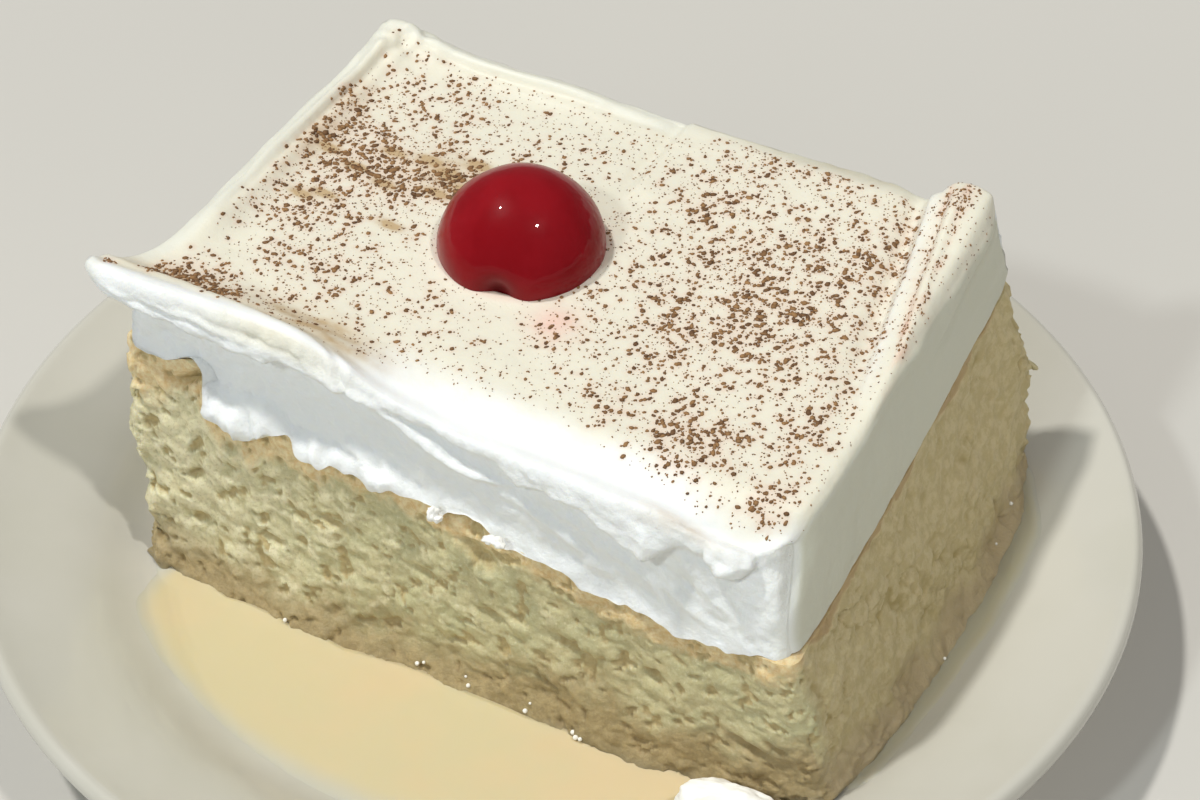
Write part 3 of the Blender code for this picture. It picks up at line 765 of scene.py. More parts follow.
# Ridges smeared over the front, each a line of (u, height against the edge, half width, out)
FRONT_RIDGES = (
    ((-17, -2, 0.8, 0.3), (-11.5, -1.8, 1, 1.1), (-6, -2.9, 1.1, 1.4), (-1.5, -4.4, 1.1, 1.4),
     (3.5, -5.2, 0.9, 1.2), (9.3, -5, 0.5, 0.4)),
    ((-16, -13, 0.7, 0.3), (-13, -12.6, 1, 1), (-9, -12.8, 1.1, 1.1), (-4.6, -13.6, 0.7, 0.5)),
    ((8, -6.5, 0.8, 0.2), (12, -7.5, 0.9, 0.5), (18, -9.8, 0.9, 0.45), (24, -12.8, 0.7, 0.1)),
    ((14, -5.2, 0.6, 0.1), (18, -6.6, 0.8, 0.4), (23, -9, 0.7, 0.1)),
    ((24, -8.8, 0.8, 0.1), (28, -10.6, 0.9, 0.4), (36, -12, 0.8, 0.35), (42, -12.5, 0.6, 0.1)),
    ((44, -7, 0.8, 0.1), (46.5, -5, 1.4, 0.6), (47.5, -9, 1, 0.2)),
    # Thin folds along the ledge
    ((-47, -1.3, 0.35, -0.1), (-40, -1.9, 0.4, -0.32), (-33, -2.3, 0.4, -0.3),
     (-29, -2.4, 0.3, -0.05)),
    ((-40, -0.6, 0.35, -0.05), (-33, -0.9, 0.4, -0.28), (-24, -1.2, 0.4, -0.26),
     (-18, -0.9, 0.3, -0.05)),
    # The stroke's end, curling round and down
    ((-20, 1.6, 0.5, -0.1), (-17.4, 1, 0.5, -0.5), (-15.4, 0, 0.5, -0.7),
     (-14, -1.6, 0.5, -0.7), (-13.6, -3.4, 0.5, -0.5), (-14.2, -4.4, 0.4, -0.1)),
    ((-21, 0.6, 0.4, -0.1), (-18.6, 0.2, 0.4, -0.35), (-17, -0.8, 0.4, -0.4),
     (-16.4, -2.2, 0.4, -0.1)),
)
# Top of the white apron over the sponge at the front, as (u, z), and how far it stands out
APRON_TOP = (
    (-38, 45.2), (-36.4, 44), (-32.7, 42.9), (-27.7, 43.6), (-25, 42.4), (-23.5, 40.8),
    (-16, 40.4), (-8.5, 40), (-5, 38.6),
)
APRON_OUT = (
    (-38.5, 0), (-36.4, 1.6), (-34.5, 2.2), (-32.6, 2.4), (-30.8, 1.9), (-28.9, 2.2),
    (-26.6, 1.5), (-24, 0.7), (-20, 1.5), (-17, 1.2), (-14.6, 1.6), (-11.5, 1), (-9, 1),
    (-5, 0),
)
# Rags of cream that hang over the crumb, as (u, half width, length)
RAGS = (
    (-35.4, 0.9, 0.8), (-33, 0.9, 0.8), (-30.6, 0.9, 0.7), (-28.2, 0.8, 0.5), (-26.2, 0.7, 0.6),
    (-22.4, 0.6, 0.5), (-18.2, 1.2, 1.2), (-15.2, 0.9, 0.8), (-10.6, 1.2, 0.9), (-0.6, 0.6, 0.9),
    (8.8, 1.2, 0.9), (11.6, 0.8, 0.5), (20, 1.4, 0.8), (25, 0.9, 0.6), (34, 1.2, 0.7),
    (41, 1.5, 0.6),
)
# Ridges and grooves of the cream's top, each a line of (u, v, half width, height)
TOP_RIDGES = (
    # The fold in front of the corner's lobe
    ((29.5, -35.2, 0.7, -0.1), (31.6, -34.6, 0.7, -0.55), (34.5, -33, 0.7, -0.6),
     (37, -32.2, 0.7, -0.6), (40.8, -32.4, 0.7, -0.45), (44, -33.4, 0.6, -0.1)),
    # The raised band
    ((37.6, 33, 0.8, 0.95), (39.3, 24.2, 0.8, 1), (40.7, 17.5, 0.8, 0.95), (42.1, 8.8, 0.8, 0.85),
     (43.2, 2.1, 0.8, 0.65), (45, -7, 0.8, 0.3), (46.3, -14, 0.8, 0)),
    ((39, 33.5, 0.5, -0.55), (41, 22.6, 0.5, -0.6), (42.9, 13.1, 0.5, -0.5), (45, 3, 0.5, -0.3),
     (46.3, -4, 0.5, 0)),
    ((40.6, 34.2, 0.6, 0.35), (41.4, 28, 0.6, 0.35), (43.4, 17.5, 0.6, 0.3), (45, 8.8, 0.6, 0.2),
     (46.4, 1, 0.6, 0)),
    ((35.4, 32, 1.1, -0.45), (37.2, 24.2, 1.1, -0.6), (38.6, 17.5, 1.1, -0.55),
     (40.2, 8.8, 1.1, -0.4), (41.3, 2.1, 1.1, -0.2)),
    # The left rim's inner edge, with a second ridge on it, and the back rim's
    ((-45.6, -14, 0.6, -0.1), (-45.4, -4, 0.6, -0.5), (-45, 14, 0.6, -0.6), (-44.2, 27, 0.6, -0.5),
     (-42.6, 30.4, 0.6, -0.3)),
    ((-46.8, -12, 0.5, 0.1), (-46.7, 2, 0.5, 0.35), (-46.4, 16, 0.5, 0.4), (-45.6, 28, 0.5, 0.3)),
    ((-47.7, -8, 0.4, -0.1), (-47.8, 4, 0.4, -0.35), (-47.6, 18, 0.4, -0.35),
     (-46.8, 29, 0.4, -0.2)),
    ((-41, 30.6, 0.6, -0.25), (-32, 30.2, 0.6, -0.45), (-18, 30.5, 0.6, -0.45),
     (-6, 30.9, 0.6, -0.3), (0, 31.4, 0.6, 0)),
    ((-42, 31.9, 0.6, 0.2), (-30, 31.6, 0.6, 0.35), (-16, 31.9, 0.6, 0.3), (-4, 32.4, 0.6, 0.1)),
    # The crest of the lip at the front left, and the hollow behind it
    ((-50, -29.5, 0.7, 0.1), (-46.7, -30.6, 0.7, 0.45), (-38, -31.4, 0.7, 0.5),
     (-28.7, -32.2, 0.7, 0.5), (-20.5, -32.8, 0.7, 0.4), (-13, -33.4, 0.6, 0.1)),
    ((-47, -26.8, 1.1, -0.1), (-42, -28, 1.1, -0.4), (-33, -29.4, 1.1, -0.5), (-24, -30, 1.1, -0.5),
     (-16, -30.8, 1, -0.3), (-11, -31.6, 0.8, 0)),
    # Smears round the cherry and along the front of the top
    ((-38, -22.5, 1.6, 0), (-33, -24, 1.8, -0.25), (-26, -25.5, 2, -0.3), (-19, -27, 1.8, -0.25),
     (-13, -28.5, 1.4, 0)),
    ((-46, -22, 1.2, 0), (-41, -18.5, 1.8, -0.35), (-38, -14, 1.8, 0)),
    ((-15, -24, 2.5, 0), (2, -22.5, 2.5, 0.18), (20, -23.5, 2.5, 0)),
)
# Where wet cinnamon has smeared into the cream, left of the cherry
OCHRE_SMEARS = (
    (-39.2, -4.6), (-36.3, -3.1), (-35.8, 4.1), (-32.9, 9.3), (-25.1, -4.8), (-23.1, 4),
    (-27.5, 10), (-23.4, 8.3), (-20.9, 12.2), (-19.3, 6.6), (-30.5, 2.6), (-41, 6),
)


def stroke(u, q, line):
    """A smooth ridge, or a groove, along a line of (u, q, half width, height)."""
    best = np.zeros(len(u))
    for (u0, q0, w0, h0), (u1, q1, w1, h1) in zip(line, line[1:]):
        du, dq = u1 - u0, q1 - q0
        f = np.clip(((u - u0) * du + (q - q0) * dq) / (du * du + dq * dq), 0, 1)
        away = np.hypot(u - u0 - f * du, q - q0 - f * dq)
        rise = (h0 + (h1 - h0) * f) * hill(away, 0, w0 + (w1 - w0) * f)
        best = np.where(np.abs(rise) > np.abs(best), rise, best)
    return best


def front_relief(u, q, z, low):
    """How far the front of the cream stands out: q is the height against its edge, low the
    height of the sponge below it."""
    along_u, in_face = points_at(u), points_at(u, 0, z)
    waver = ripples(along_u, 3.1)
    drop, out, under = (along([(k[0], k[n]) for k in FRONT_LEDGE], u) for n in (1, 2, 3))
    drop = drop * (1 + 0.25 * waver) + 0.3 * ripples(along_u, 1.3, 5)
    out *= 1 + 0.2 * ripples(along_u, 4.2, 2)
    above = np.clip((q + drop) / (2.2 + drop), 0, 1)
    upper = out * (1 - above ** 2)
    lower = -under + (out + under) * np.exp(-(((-drop - q) / 0.8) ** 2))
    relief = np.where(q > -drop, upper, lower)
    for line in FRONT_RIDGES:
        relief += stroke(u, q, line)
    top = along(APRON_TOP, u) + 0.5 * waver
    hang = np.clip((top - z) / np.maximum(top - low, 1.5), 0, 1)
    clots = 1 + 0.8 * ripples(in_face, 2.3, 3)
    relief += along(APRON_OUT, u) * hang ** 0.6 * clots
    reach = np.hypot((u - 40) / 3.1, (q + 1.1) / 2.3)
    lobe = 3 * np.sqrt(np.clip(1 - reach ** 2, 0, 1))
    rough = 1 + 0.5 * ripples(in_face, 1.9, 9)
    return relief + 0.85 * lobe * (1 - 0.5 * step(q, -3.2, 0.2)) * rough


def side_relief(v, q):
    """The knife-cut right side: under its rounded edge, the back part has a crease."""
    line = -4.2 + 0.12 * (v - 30)
    fold = 0.35 * hill(q, line + 1.5, 1.3) - 0.4 * hill(q, line, 0.5)
    fold -= 0.2 * hill(q, line - 2.5, 2)
    return step(v, 4, 22) * step(-q, 0.4, 1.6) * fold


def make_cream():
    bm = cut_box(CREAM_CELLS)
    plain_side(bm, -1)
    box = places_of(bm)
    # Finer cells near the front edge
    s, t = box[:, 0], box[:, 1] + 0.08 * (box[:, 1] ** 2 - 1) * (1 - box[:, 1])
    w = 1 - ((1 - box[:, 2]) / 2) ** 1.2
    flat_u, flat_v = s * HALF_LENGTH, t * HALF_WIDTH
    from_left, from_right = (s + 1) * HALF_LENGTH, (1 - s) * HALF_LENGTH
    from_front = (t + 1) * HALF_WIDTH
    crust = crust_height(flat_u, flat_v)
    u, v = spread(s, t, crust + (cream_top(flat_u, flat_v) - crust) * w)
    top = w > 0.999
    front, back, right = t < -0.999, t > 0.999, s > 0.999
    low, high = crust_height(u, v) + 0.4, cream_top(u, v)
    # The right edge is one round, wider towards the back
    widening = step(flat_v, -20, 30)
    band = step(flat_v, -24, 8)
    high += 2.2 * (1 - step(HALF_LENGTH - u, -1, 4)) * (0.4 + 0.6 * band)
    bend = 1.4 + 2 * widening
    past = np.clip(1 - from_right / bend, 0, 1)
    rounding = bend * (1 - np.sqrt(1 - past ** 2))
    # The back's swelling, which slopes down behind the edge, and the end of the raised band
    bulge, block_end = hill(u, 23, 13) * (1 - step(u, 34, 38)), step(u, 36, 40)
    behind = np.where(back, step(w, 0.1, 0.7), step(t, 0.93, 1))
    slope = bulge * np.where(back, 1, step(t, 0.94, 1))
    z = low + (high - rounding - 1.5 * slope - low) * w
    u -= 1.3 * widening * step(s, 0.9, 1) * step(w, 0.35, 1)
    v += (2.8 * bulge + 2.2 * block_end) * behind
    # The left side's rim leans out
    u -= hill(flat_v, 8, 20) * (1 - step(s, -1, -0.93)) * step(w, 0.5, 1)
    # A second lump behind the left corner
    v += back * 1.6 * hill(u, -41, 2.6) * hill(z, 52.5, 2.6)
    # The left corner curls out
    near = hill(np.hypot(from_left, from_front), 0, 9.5) * step(w, 0.6, 1)
    # The right corner is drawn in to a wide round, widest at the top
    drawn = np.clip(1 - from_right / 10, 0, 1) ** 2 * np.clip(1 - from_front / 16, 0, 1) ** 2
    u, v = u - (0.9 + 0.8 * step(w, 0.25, 1)) * drawn, v + (1.2 + 4 * step(w, 0.25, 1)) * drawn
    place_all(bm, points_at(u - 5.6 * near, v - 0.4 * near, z - 0.4 * near))

    edge = top & ((np.abs(s) > 0.97) | (np.abs(t) > 0.96)) | (~top & (w > 0.9))
    soften(bm, edge, 6)
    soften(bm, (s > 0.9) & top | right & (w > 0.7), 8)
    soften(bm, (front & (s > 0.94) | right & (t < -0.91)) & (w > 0.02), 26)
    normals = normals_of(bm)
    places = places_of(bm)
    q = np.where(top, flat_v + HALF_WIDTH, z - high)
    reach = front | (top & (q < 3))
    out = np.zeros(len(u))
    out[reach] += front_relief(u[reach], q[reach], z[reach], low[reach])
    out[top & reach] *= 1 - step(q[top & reach], 0, 3)
    out[right] += side_relief(v[right], (z - high)[right])
    for line in TOP_RIDGES:
        out += np.where(top, stroke(u, v, line), 0)
    # Streaks left by the knife run down to the right over the front
    streak = points_at(u * 0.86 - z * 0.5, v * 0.2, (u * 0.5 + z * 0.86) * 3)
    depth = np.where(front, 0.26, np.where(right, 0.08, np.where(top, 0, 0.3)))
    out += depth * ripples(streak, 6)
    out += np.where(front, 0.14, 0) * ripples(streak, 2.2, 6)
    out += np.where(front, 0.3, np.where(top, 0.07, 0.14)) * ripples(places, 3)
    out += np.where(right, 0.4 * step(w, 0, 0.3), 0) * ripples(places, 7.5, 3)
    out += np.where(front, 0.16, np.where(top, 0.04, 0.06)) * ripples(places, 1.3, 4)
    # Front and right side run into one another without a crease
    out *= np.where(front, step(from_right, 0, 2.5), 1)
    out *= np.where(right, step(from_front, 0, 2.5), 1)
    flat_places = places * [1, 1, 0]
    out += np.where(top, 0.22, 0) * ripples(flat_places, 11) * step(q, 3, 10)
    # Streaks along the rims, and the lumpy left corner
    rim = top * (1 - step(u, -46.5, -45)) * step(v, -22, -10)
    along_rim = points_at(u * 4, v * 0.35)
    out += rim * (0.34 * ripples(along_rim, 4) + 0.2 * ripples(along_rim, 1.7))
    corner = hill(np.hypot(u + 44.5, v - 31.5), 0, 5) * (top | back)
    out += corner * (0.9 * ripples(places, 3.4, 12) + 0.6 * ripples(places, 1.6, 15))
    # Step left by the spatula at the back of the top
    crease = 0.65 * step(u, -0.8, 0.8) * np.exp(-np.maximum(u, 0) / 9) * step(v, 13, 19)
    crease -= 0.45 * hill(u, -1.2, 1.1) * step(v, 14, 20)
    out += np.where(top, crease, 0)
    places += normals * out[:, None]
    # Rags at the border
    length = 0.4 + 0.35 * ripples(points_at(u), 1.7, 8)
    for place, half, hang in RAGS:
        length += hang * hill(u, place, half)
    rag = front * (1 - step(z - low, 0, 3)) ** 2
    places[:, 2] -= rag * length
    places[:, 1] -= rag * 0.5
    # Hollow that holds the cherry; the cream round it runs a little way into the fruit
    from_cherry = places - np.array(CHERRY_PLACE)
    from_cherry[:, 2] /= CHERRY_FLATTENING
    flat = np.hypot(from_cherry[:, 0], from_cherry[:, 1])
    sunk = top & (flat < CHERRY_RADIUS - 0.7)
    drop = np.sqrt(np.maximum((CHERRY_RADIUS - 0.5) ** 2 - flat ** 2, 0)) * CHERRY_FLATTENING
    places[:, 2] = np.where(sunk, CHERRY_PLACE[2] - drop, places[:, 2])
    welt = 0.35 * hill(flat, CHERRY_RADIUS + 0.2, 1.5)
    places[:, 2] += np.where(top & ~sunk, welt, 0)
    place_all(bm, places)

    on_top = np.where(top, 1, np.where(front, step(q, -1.5, 0), step(z - high, -1.6, 0)))
    in_front = step(flat_v + 1.6 * ripples(flat_places, 7) + 3.5 * step(u, 28, 42), -31.5, -24.5)
    left_lip = 1 - step(u, -20, -10)
    on_rim = np.maximum(1 - step(u, -46.6, -45.2), step(v, 30.6, 31.6) * (1 - step(u, -4, 4)))
    on_band = hill(u, 37.9 + 0.18 * (31.7 - v), 1) * step(v, -10, 4)
    warm = on_top * (left_lip * step(flat_v, -33.2, -31.6) + (1 - left_lip) * in_front)
    warm = warm * (1 - 0.35 * on_rim) * (1 - 0.4 * on_band)
    warm *= 1 - hill(u, 41, 4) * (1 - step(flat_v, -33.6, -31.5))
    warm = np.maximum(warm, 0.9 * hill(u, -25, 9) * front * step(q, -2.8, -0.8))
    # Brown on the top: the ochre smears of wet cinnamon are stain; behind the lip at the front left
    # it is a tan smear with painted shade in the trough, and on the back slope it is painted shade.
    smear = 0.65 + 0.7 * ripples(places * [0.35, 1.2, 0], 1.6)
    stain_and_shade = 1.4 * hill(u, -22, 8.5) * hill(flat_v + 0.14 * (u + 22), -28, 2.9) * smear
    stain_and_shade += 0.8 * hill(u, -42, 7) * hill(flat_v, -28.8, 2.4) * smear
    stain_and_shade += 0.35 * slope * step(behind, 0.2, 0.7) * smear
    stain_and_shade += 0.55 * hill(u, 33, 5) * hill(flat_v, -33.4, 0.8) * smear
    stain_and_shade += 0.95 * hill(np.hypot((u + 22.8) / 1.6, v - 8.8), 0, 3.6) * smear
    for at_u, at_v in OCHRE_SMEARS:
        stain_and_shade += 2 * hill(np.hypot((u - at_u) / 2.2 + 0.2 * (v - at_v), v - at_v), 0, 0.75)
    stain_and_shade += 0.5 * hill(np.hypot((u + 43.6) / 0.7, (v - 10) / 3), 0, 3.6) * smear
    pink = 0.6 * hill(np.hypot(u - 3.6, flat_v + 11.8), 0, 3)
    pink += 0.34 * hill(flat, CHERRY_RADIUS + 0.3, 0.8) * top
    # Painted shade, as grey-olive: on the right face under its edge, at the front near the right
    # corner, on the back slope, on the rims and on the lump behind the left corner.
    under_edge = 1 - step(z - high, -2.2, 0.2)
    side = np.where(right, under_edge * (0.35 + 0.65 * step(from_front, 0, 3.2)), 0)
    side = np.maximum(side, front * (0.08 * step(u, 24, 32) + 0.27 * step(s, 0.9, 1)))
    side = np.maximum(side, 0.95 * slope * step(behind, 0.05, 0.4))
    side = np.maximum(side, 0.35 * on_rim * on_top)
    side = np.maximum(side, 0.7 * back * hill(u, -41, 3.5))
    grooves = hill(u, groove_line(v, 0), 0.55) + 0.7 * hill(u, groove_line(v, 1), 0.5)
    grooves *= np.clip(0.35 + 1.6 * ripples(places * [1, 0.3, 0], 1.4), 0, 1) * step(v, -6, 4)
    dusted = 0.1 * thickness_of_dust(u, flat_v) + 0.75 * grooves
    values = {
        "warm": warm, "dusted": dusted * on_top, "stain_and_shade": stain_and_shade * on_top,
        "pink": np.minimum(pink, 0.8) * on_top, "side": side, "torn": front,
    }
    cream = finish(bm, "cream_spread", whipped_cream(), values=values)
    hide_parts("cream")
    return cream


# Cinnamon

CLUMP_COUNT, CLUMP_SEED, CLUMP_SPACE = 48, 7, 4
CLUMP_RADIUS = (0.55, 0.95)
COARSE_COUNT, FINE_COUNT, GRAIN_SEED = 3900, 7000, 11
# Where the cinnamon lies thick, as (u, half width, v, half width, share)
THICK = (
    # Left of the cherry, along the rim and down to the lip
    (-33, 13, 6, 10, 1.1), (-23, 7, 7, 6.5, 1.15), (-43.5, 4, 10, 10, 1.1), (-37, 9, -6, 10, 0.75),
    (-42, 6, -26, 3.8, 1), (-30, 10, -17, 10, 0.5), (-15, 10, -19, 8, 0.3),
    (-34, 11, 22, 9, 0.5),
    # Right of the cherry
    (29, 8, -22, 6, 1), (18, 6, -21, 4, 0.75), (21.5, 11, -4.5, 9, 0.85), (27, 22, 4, 23, 0.76),
    (7, 6, -12, 7, 0.5), (12, 10, 20, 10, 0.66), (36, 8, 18, 14, 0.8), (40, 6, -14, 12, 0.62),
    (22, 17, 31, 6, 0.55), (-14, 12, 20, 10, 0.22), (42, 4, -26, 8, 0.7),
)
# Front limit of the cinnamon, as (u, v)
DUST_FRONT = (
    (-52, -31), (-46, -30.5), (-28, -32.5), (-18, -32), (-10, -28.5), (8, -27), (20, -28.5),
    (34, -32), (40, -32.2), (46, -30),
)


def thickness_of_dust(u, v):
    thick = 0.07 + 0 * u
    for at_u, wide, at_v, deep, share in THICK:
        thick = np.maximum(thick, share * hill(u, at_u, wide) * hill(v, at_v, deep))
    back = 30.6 + 2.6 * step(u, 2, 7)
    bare = step(u, -46.6, -44.6) * (1 - step(u, 44.5, 46.5)) * (1 - step(v - back, -0.6, 0.6))
    limit = along(DUST_FRONT, u)
    on_ridge = step(into_band(u, v), -1.6, 0.4) * step(v, -14, 2)
    return thick * bare * step(v - limit, 0, 2) * (1 - 0.88 * on_ridge)


def grain_shape(seed):
    """An uneven chip of radius 1."""
    bm = bmesh.new()
    bmesh.ops.create_icosphere(bm, subdivisions=1, radius=1)
    draw = random.Random(seed)
    for vert in bm.verts:
        vert.co *= draw.uniform(0.6, 1.25)
    bm.verts.index_update()
    shape = places_of(bm), np.array([[v.index for v in f.verts] for f in bm.faces])
    bm.free()
    return shape


def scatter(name, material, shapes, grains):
    """One mesh of many grains. Each grain is (place, normal, (long, wide, tall), turn, tone)."""
    all_points, all_faces, tones, count = [], [], [], 0
    for k, (place, normal, size, turn, tone) in enumerate(grains):
        points, faces = shapes[k % len(shapes)]
        stand = Vector((0, 0, 1)).rotation_difference(normal).to_matrix()
        matrix = np.array(stand @ Matrix.Rotation(turn, 3, "Z"))
        all_points.append((points * size) @ matrix.T + np.array(place))
        all_faces.append(faces + count)
        tones.append(np.full(len(points), tone))
        count += len(points)
    points, faces = np.concatenate(all_points) * MM, np.concatenate(all_faces)
    mesh = bpy.data.meshes.new(name)
    mesh.vertices.add(len(points))
    mesh.vertices.foreach_set("co", points.ravel())
    mesh.loops.add(faces.size)
    mesh.loops.foreach_set("vertex_index", faces.ravel())
    mesh.polygons.add(len(faces))
    mesh.polygons.foreach_set("loop_start", np.arange(0, faces.size, 3))
    mesh.update(calc_edges=True)
    return piece(mesh, name, material, {"tone": np.concatenate(tones)}, smooth=False)


def skin_of(obj):
    """A piece's skin, which grains and beads come to lie on."""
    bm = bmesh.new()
    bm.from_mesh(obj.data)
    skin = BVHTree.FromBMesh(bm)
    bm.free()
    return skin


def drop_on(skin, u, v):
    """The place and normal, in millimetres, where a grain dropped at (u, v) lands."""
    x, y = on_plate(u, v)
    hit, normal, _, _ = skin.ray_cast(Vector((x * MM, y * MM, 0.1)), Vector((0, 0, -1)))
    return (hit / MM, normal) if hit else (None, None)


def clump_places():
    """The largest clumps, which the solids hold too."""
    draw = random.Random(CLUMP_SEED)
    placed = []
    while len(placed) < CLUMP_COUNT:
        u, v = draw.uniform(-42, 38), draw.uniform(-24, 28)
        near_cherry = past_cherry(u, v) < 3
        crowded_out = any(hypot(u - x, v - y) < CLUMP_SPACE for x, y, *_ in placed)
        left = hill(u, -30, 16) * hill(v, 8, 16)
        right = hill(u, 28, 18) * hill(v, -8, 18)
        if near_cherry or crowded_out or draw.random() > 0.15 + 0.85 * max(left, right):
            continue
        radius = CLUMP_RADIUS[0] + (CLUMP_RADIUS[1] - CLUMP_RADIUS[0]) / (len(placed) + 1)
        placed.append((u, v, radius, draw.uniform(1, 1.5), draw.uniform(0, pi)))
    return placed


def tint_round(cream, grains):
    """Stains the cream round the grains: the amount of spice over each spot, spread a little."""
    cell, half = 0.25, 70
    at = np.array([grain[0] for grain in grains])
    size = np.array([grain[2][0] * grain[2][1] for grain in grains])
    bins = np.arange(-half, half + cell, cell)
    amount = np.histogram2d(at[:, 0], at[:, 1], bins=(bins, bins), weights=size)[0] / cell ** 2
    reach = np.exp(-((np.arange(-8, 9) * cell / 0.55) ** 2))
    reach /= reach.sum()
    for axis in (0, 1):
        amount = np.apply_along_axis(np.convolve, axis, amount, reach, mode="same")
    mesh = cream.data
    points = np.empty(len(mesh.vertices) * 3, np.float32)
    mesh.vertices.foreach_get("co", points)
    points = points.reshape(-1, 3) / MM
    index = np.clip(((points[:, :2] + half) / cell).astype(int), 0, amount.shape[0] - 1)
    dusted = np.empty(len(points), np.float32)
    mesh.attributes["dusted"].data.foreach_get("value", dusted)
    on_top = points[:, 2] > 48
    dusted += np.where(on_top, np.minimum(3.2 * amount[index[:, 0], index[:, 1]], 0.42), 0)
    mesh.attributes["dusted"].data.foreach_set("value", dusted.astype(np.float32))


def make_cinnamon(cream):
    skin = skin_of(cream)
    draw = random.Random(GRAIN_SEED)
    coarse, fine = [], []

    def lay(grains, u, v, radius, stretch, turn, sink):
        if past_cherry(u, v) < 0.2:
            return
        place, normal = drop_on(skin, u, v)
        if place is None:
            return
        size = (radius * stretch, radius, radius * 0.5)
        grains.append((place + normal * radius * sink, normal, size, turn, draw.random()))

    def row(u, v, count, gap, radius):
        """Chips one after another in a short crooked row."""
        way = draw.gauss(1, 0.6)
        for _ in range(count):
            lay(coarse, u + draw.gauss(0, 0.12), v + draw.gauss(0, 0.12),
                radius * draw.uniform(0.75, 1.25), draw.uniform(1, 1.45),
                way + CAKE_TURN + draw.gauss(0, 0.4), 0.1)
            way += draw.gauss(0, 0.5)
            u, v = u + gap * cos(way), v + gap * sin(way)

    def specks(count, draw_u, at_v, off_v, least, most, stretch):
        for _ in range(count):
            lay(fine, draw_u(), at_v + draw.gauss(0, off_v), draw.uniform(least, most), stretch,
                draw.uniform(0, pi), 0.1)

    for u, v, radius, stretch, _ in clump_places():
        row(u, v, 4, 0.3 * stretch, radius * 0.45)
    while len(coarse) < COARSE_COUNT:
        u, v = draw.uniform(-46, 46), draw.uniform(-31.5, 33)
        thick = thickness_of_dust(u, v)
        if draw.random() * 1.3 > thick:
            continue
        count = 1 + int(draw.expovariate(1.6 / (0.3 + thick)))
        row(u, v, min(count, 4), draw.uniform(0.4, 0.8), draw.uniform(0.14, 0.3 + 0.12 * thick))
    while len(fine) < FINE_COUNT:
        u, v = draw.uniform(-46, 47), draw.uniform(-31.5, 33)
        if draw.random() > 0.32 + 0.68 * thickness_of_dust(u, v):
            continue
        if u < -44.8 or v > 30.2 + 2.6 * (u > 5) or v < along(DUST_FRONT, u):
            continue
        lay(fine, u, v, draw.uniform(0.05, 0.13), draw.uniform(1, 1.5), draw.uniform(0, pi), 0.2)
    # Specks in the grooves of the raised band
    for _ in range(170):
        v = draw.uniform(2, 34.5)
        line = groove_line(v, 0 if draw.random() < 0.6 else 1)
        lay(fine, line + draw.gauss(0, 0.28), v, draw.uniform(0.07, 0.19), 1.6,
            draw.uniform(0.9, 1.7), 0.1)
    # On the band's back end, along the lip and on the tip of the left corner
    specks(70, lambda: 41 + draw.gauss(0, 1.2), 32.5, 1.8, 0.08, 0.22, 1.4)
    specks(260, lambda: draw.uniform(-47.5, -34), -28.4, 1.7, 0.12, 0.32, 1.3)
    specks(16, lambda: -51 + draw.gauss(0, 0.5), -32.4, 0.4, 0.1, 0.26, 1.4)
    tint_round(cream, coarse + fine)
    bark = cinnamon_bark()
    scatter("cinnamon_coarse", bark, [grain_shape(k) for k in range(8)], coarse)
    scatter("cinnamon_fine", bark, [grain_shape(k) for k in range(4)], fine)


# Cherry

DIMPLE_WAY = Vector((0.2, -0.975, -0.06)).normalized()
# The fruit rests a little higher and further forward than the hollow it pressed
CHERRY_SHIFT = (0.24, -0.44, 0.9)


def make_cherry():
    bm, ways = ball(7)
    off = np.linalg.norm(ways - np.array(DIMPLE_WAY), axis=1) * CHERRY_RADIUS
    dimple = hill(off, 0, 2.3)
    out = 0.45 * hill(ways[:, 2], -0.05, 0.4) - 1.5 * dimple
    out += 0.16 * ripples(ways, 0.55)
    # Fine wrinkles run down over the right shoulder
    where = step(ways[:, 0] + 0.35 * ways[:, 1], 0.35, 0.85)
    out += 0.035 * ripples(ways * [3.4, 3.4, 0.9], 0.22) * where + 0.012 * ripples(ways, 0.1)
    fruit = ways * (CHERRY_RADIUS + out)[:, None] * [1, 1, CHERRY_FLATTENING]
    place_all(bm, fruit + np.array(CHERRY_PLACE) + np.array(CHERRY_SHIFT))
    # The dimple's weight also paints its darker red, as shade.
    cherry = finish(bm, "cherry_whole", cherry_skin(), values={"dimple": dimple})
    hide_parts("cherry")


# Dab of cream on the plate

DAB_PLACE, DAB_RADII = (46.5, -43.6), (8, 4.9, 4.4)


def make_dab():
    bm, ways = ball(6)
    size = 1 + 0.18 * ripples(ways, 1 / 1.7, np.array([3, 8, 1]))
    size += 0.08 * ripples(ways, 0.3) + 0.03 * ripples(ways, 0.12)
    middle = (*DAB_PLACE, well_height(*DAB_PLACE) + 1.2)
    u, v, z = (middle + ways * DAB_RADII * size[:, None]).T
    place_all(bm, points_at(u, v, np.maximum(z, well_height(u, v) + 0.1)))
    values = {label: np.zeros(len(u)) for label in CREAM_TONES}
    values["warm"] += 0.55
    whipped = bpy.data.materials["whipped_cream"]
    dab = finish(bm, "cream_dab_soft", whipped, values=values)
    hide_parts("cream_dab")


# Small bits

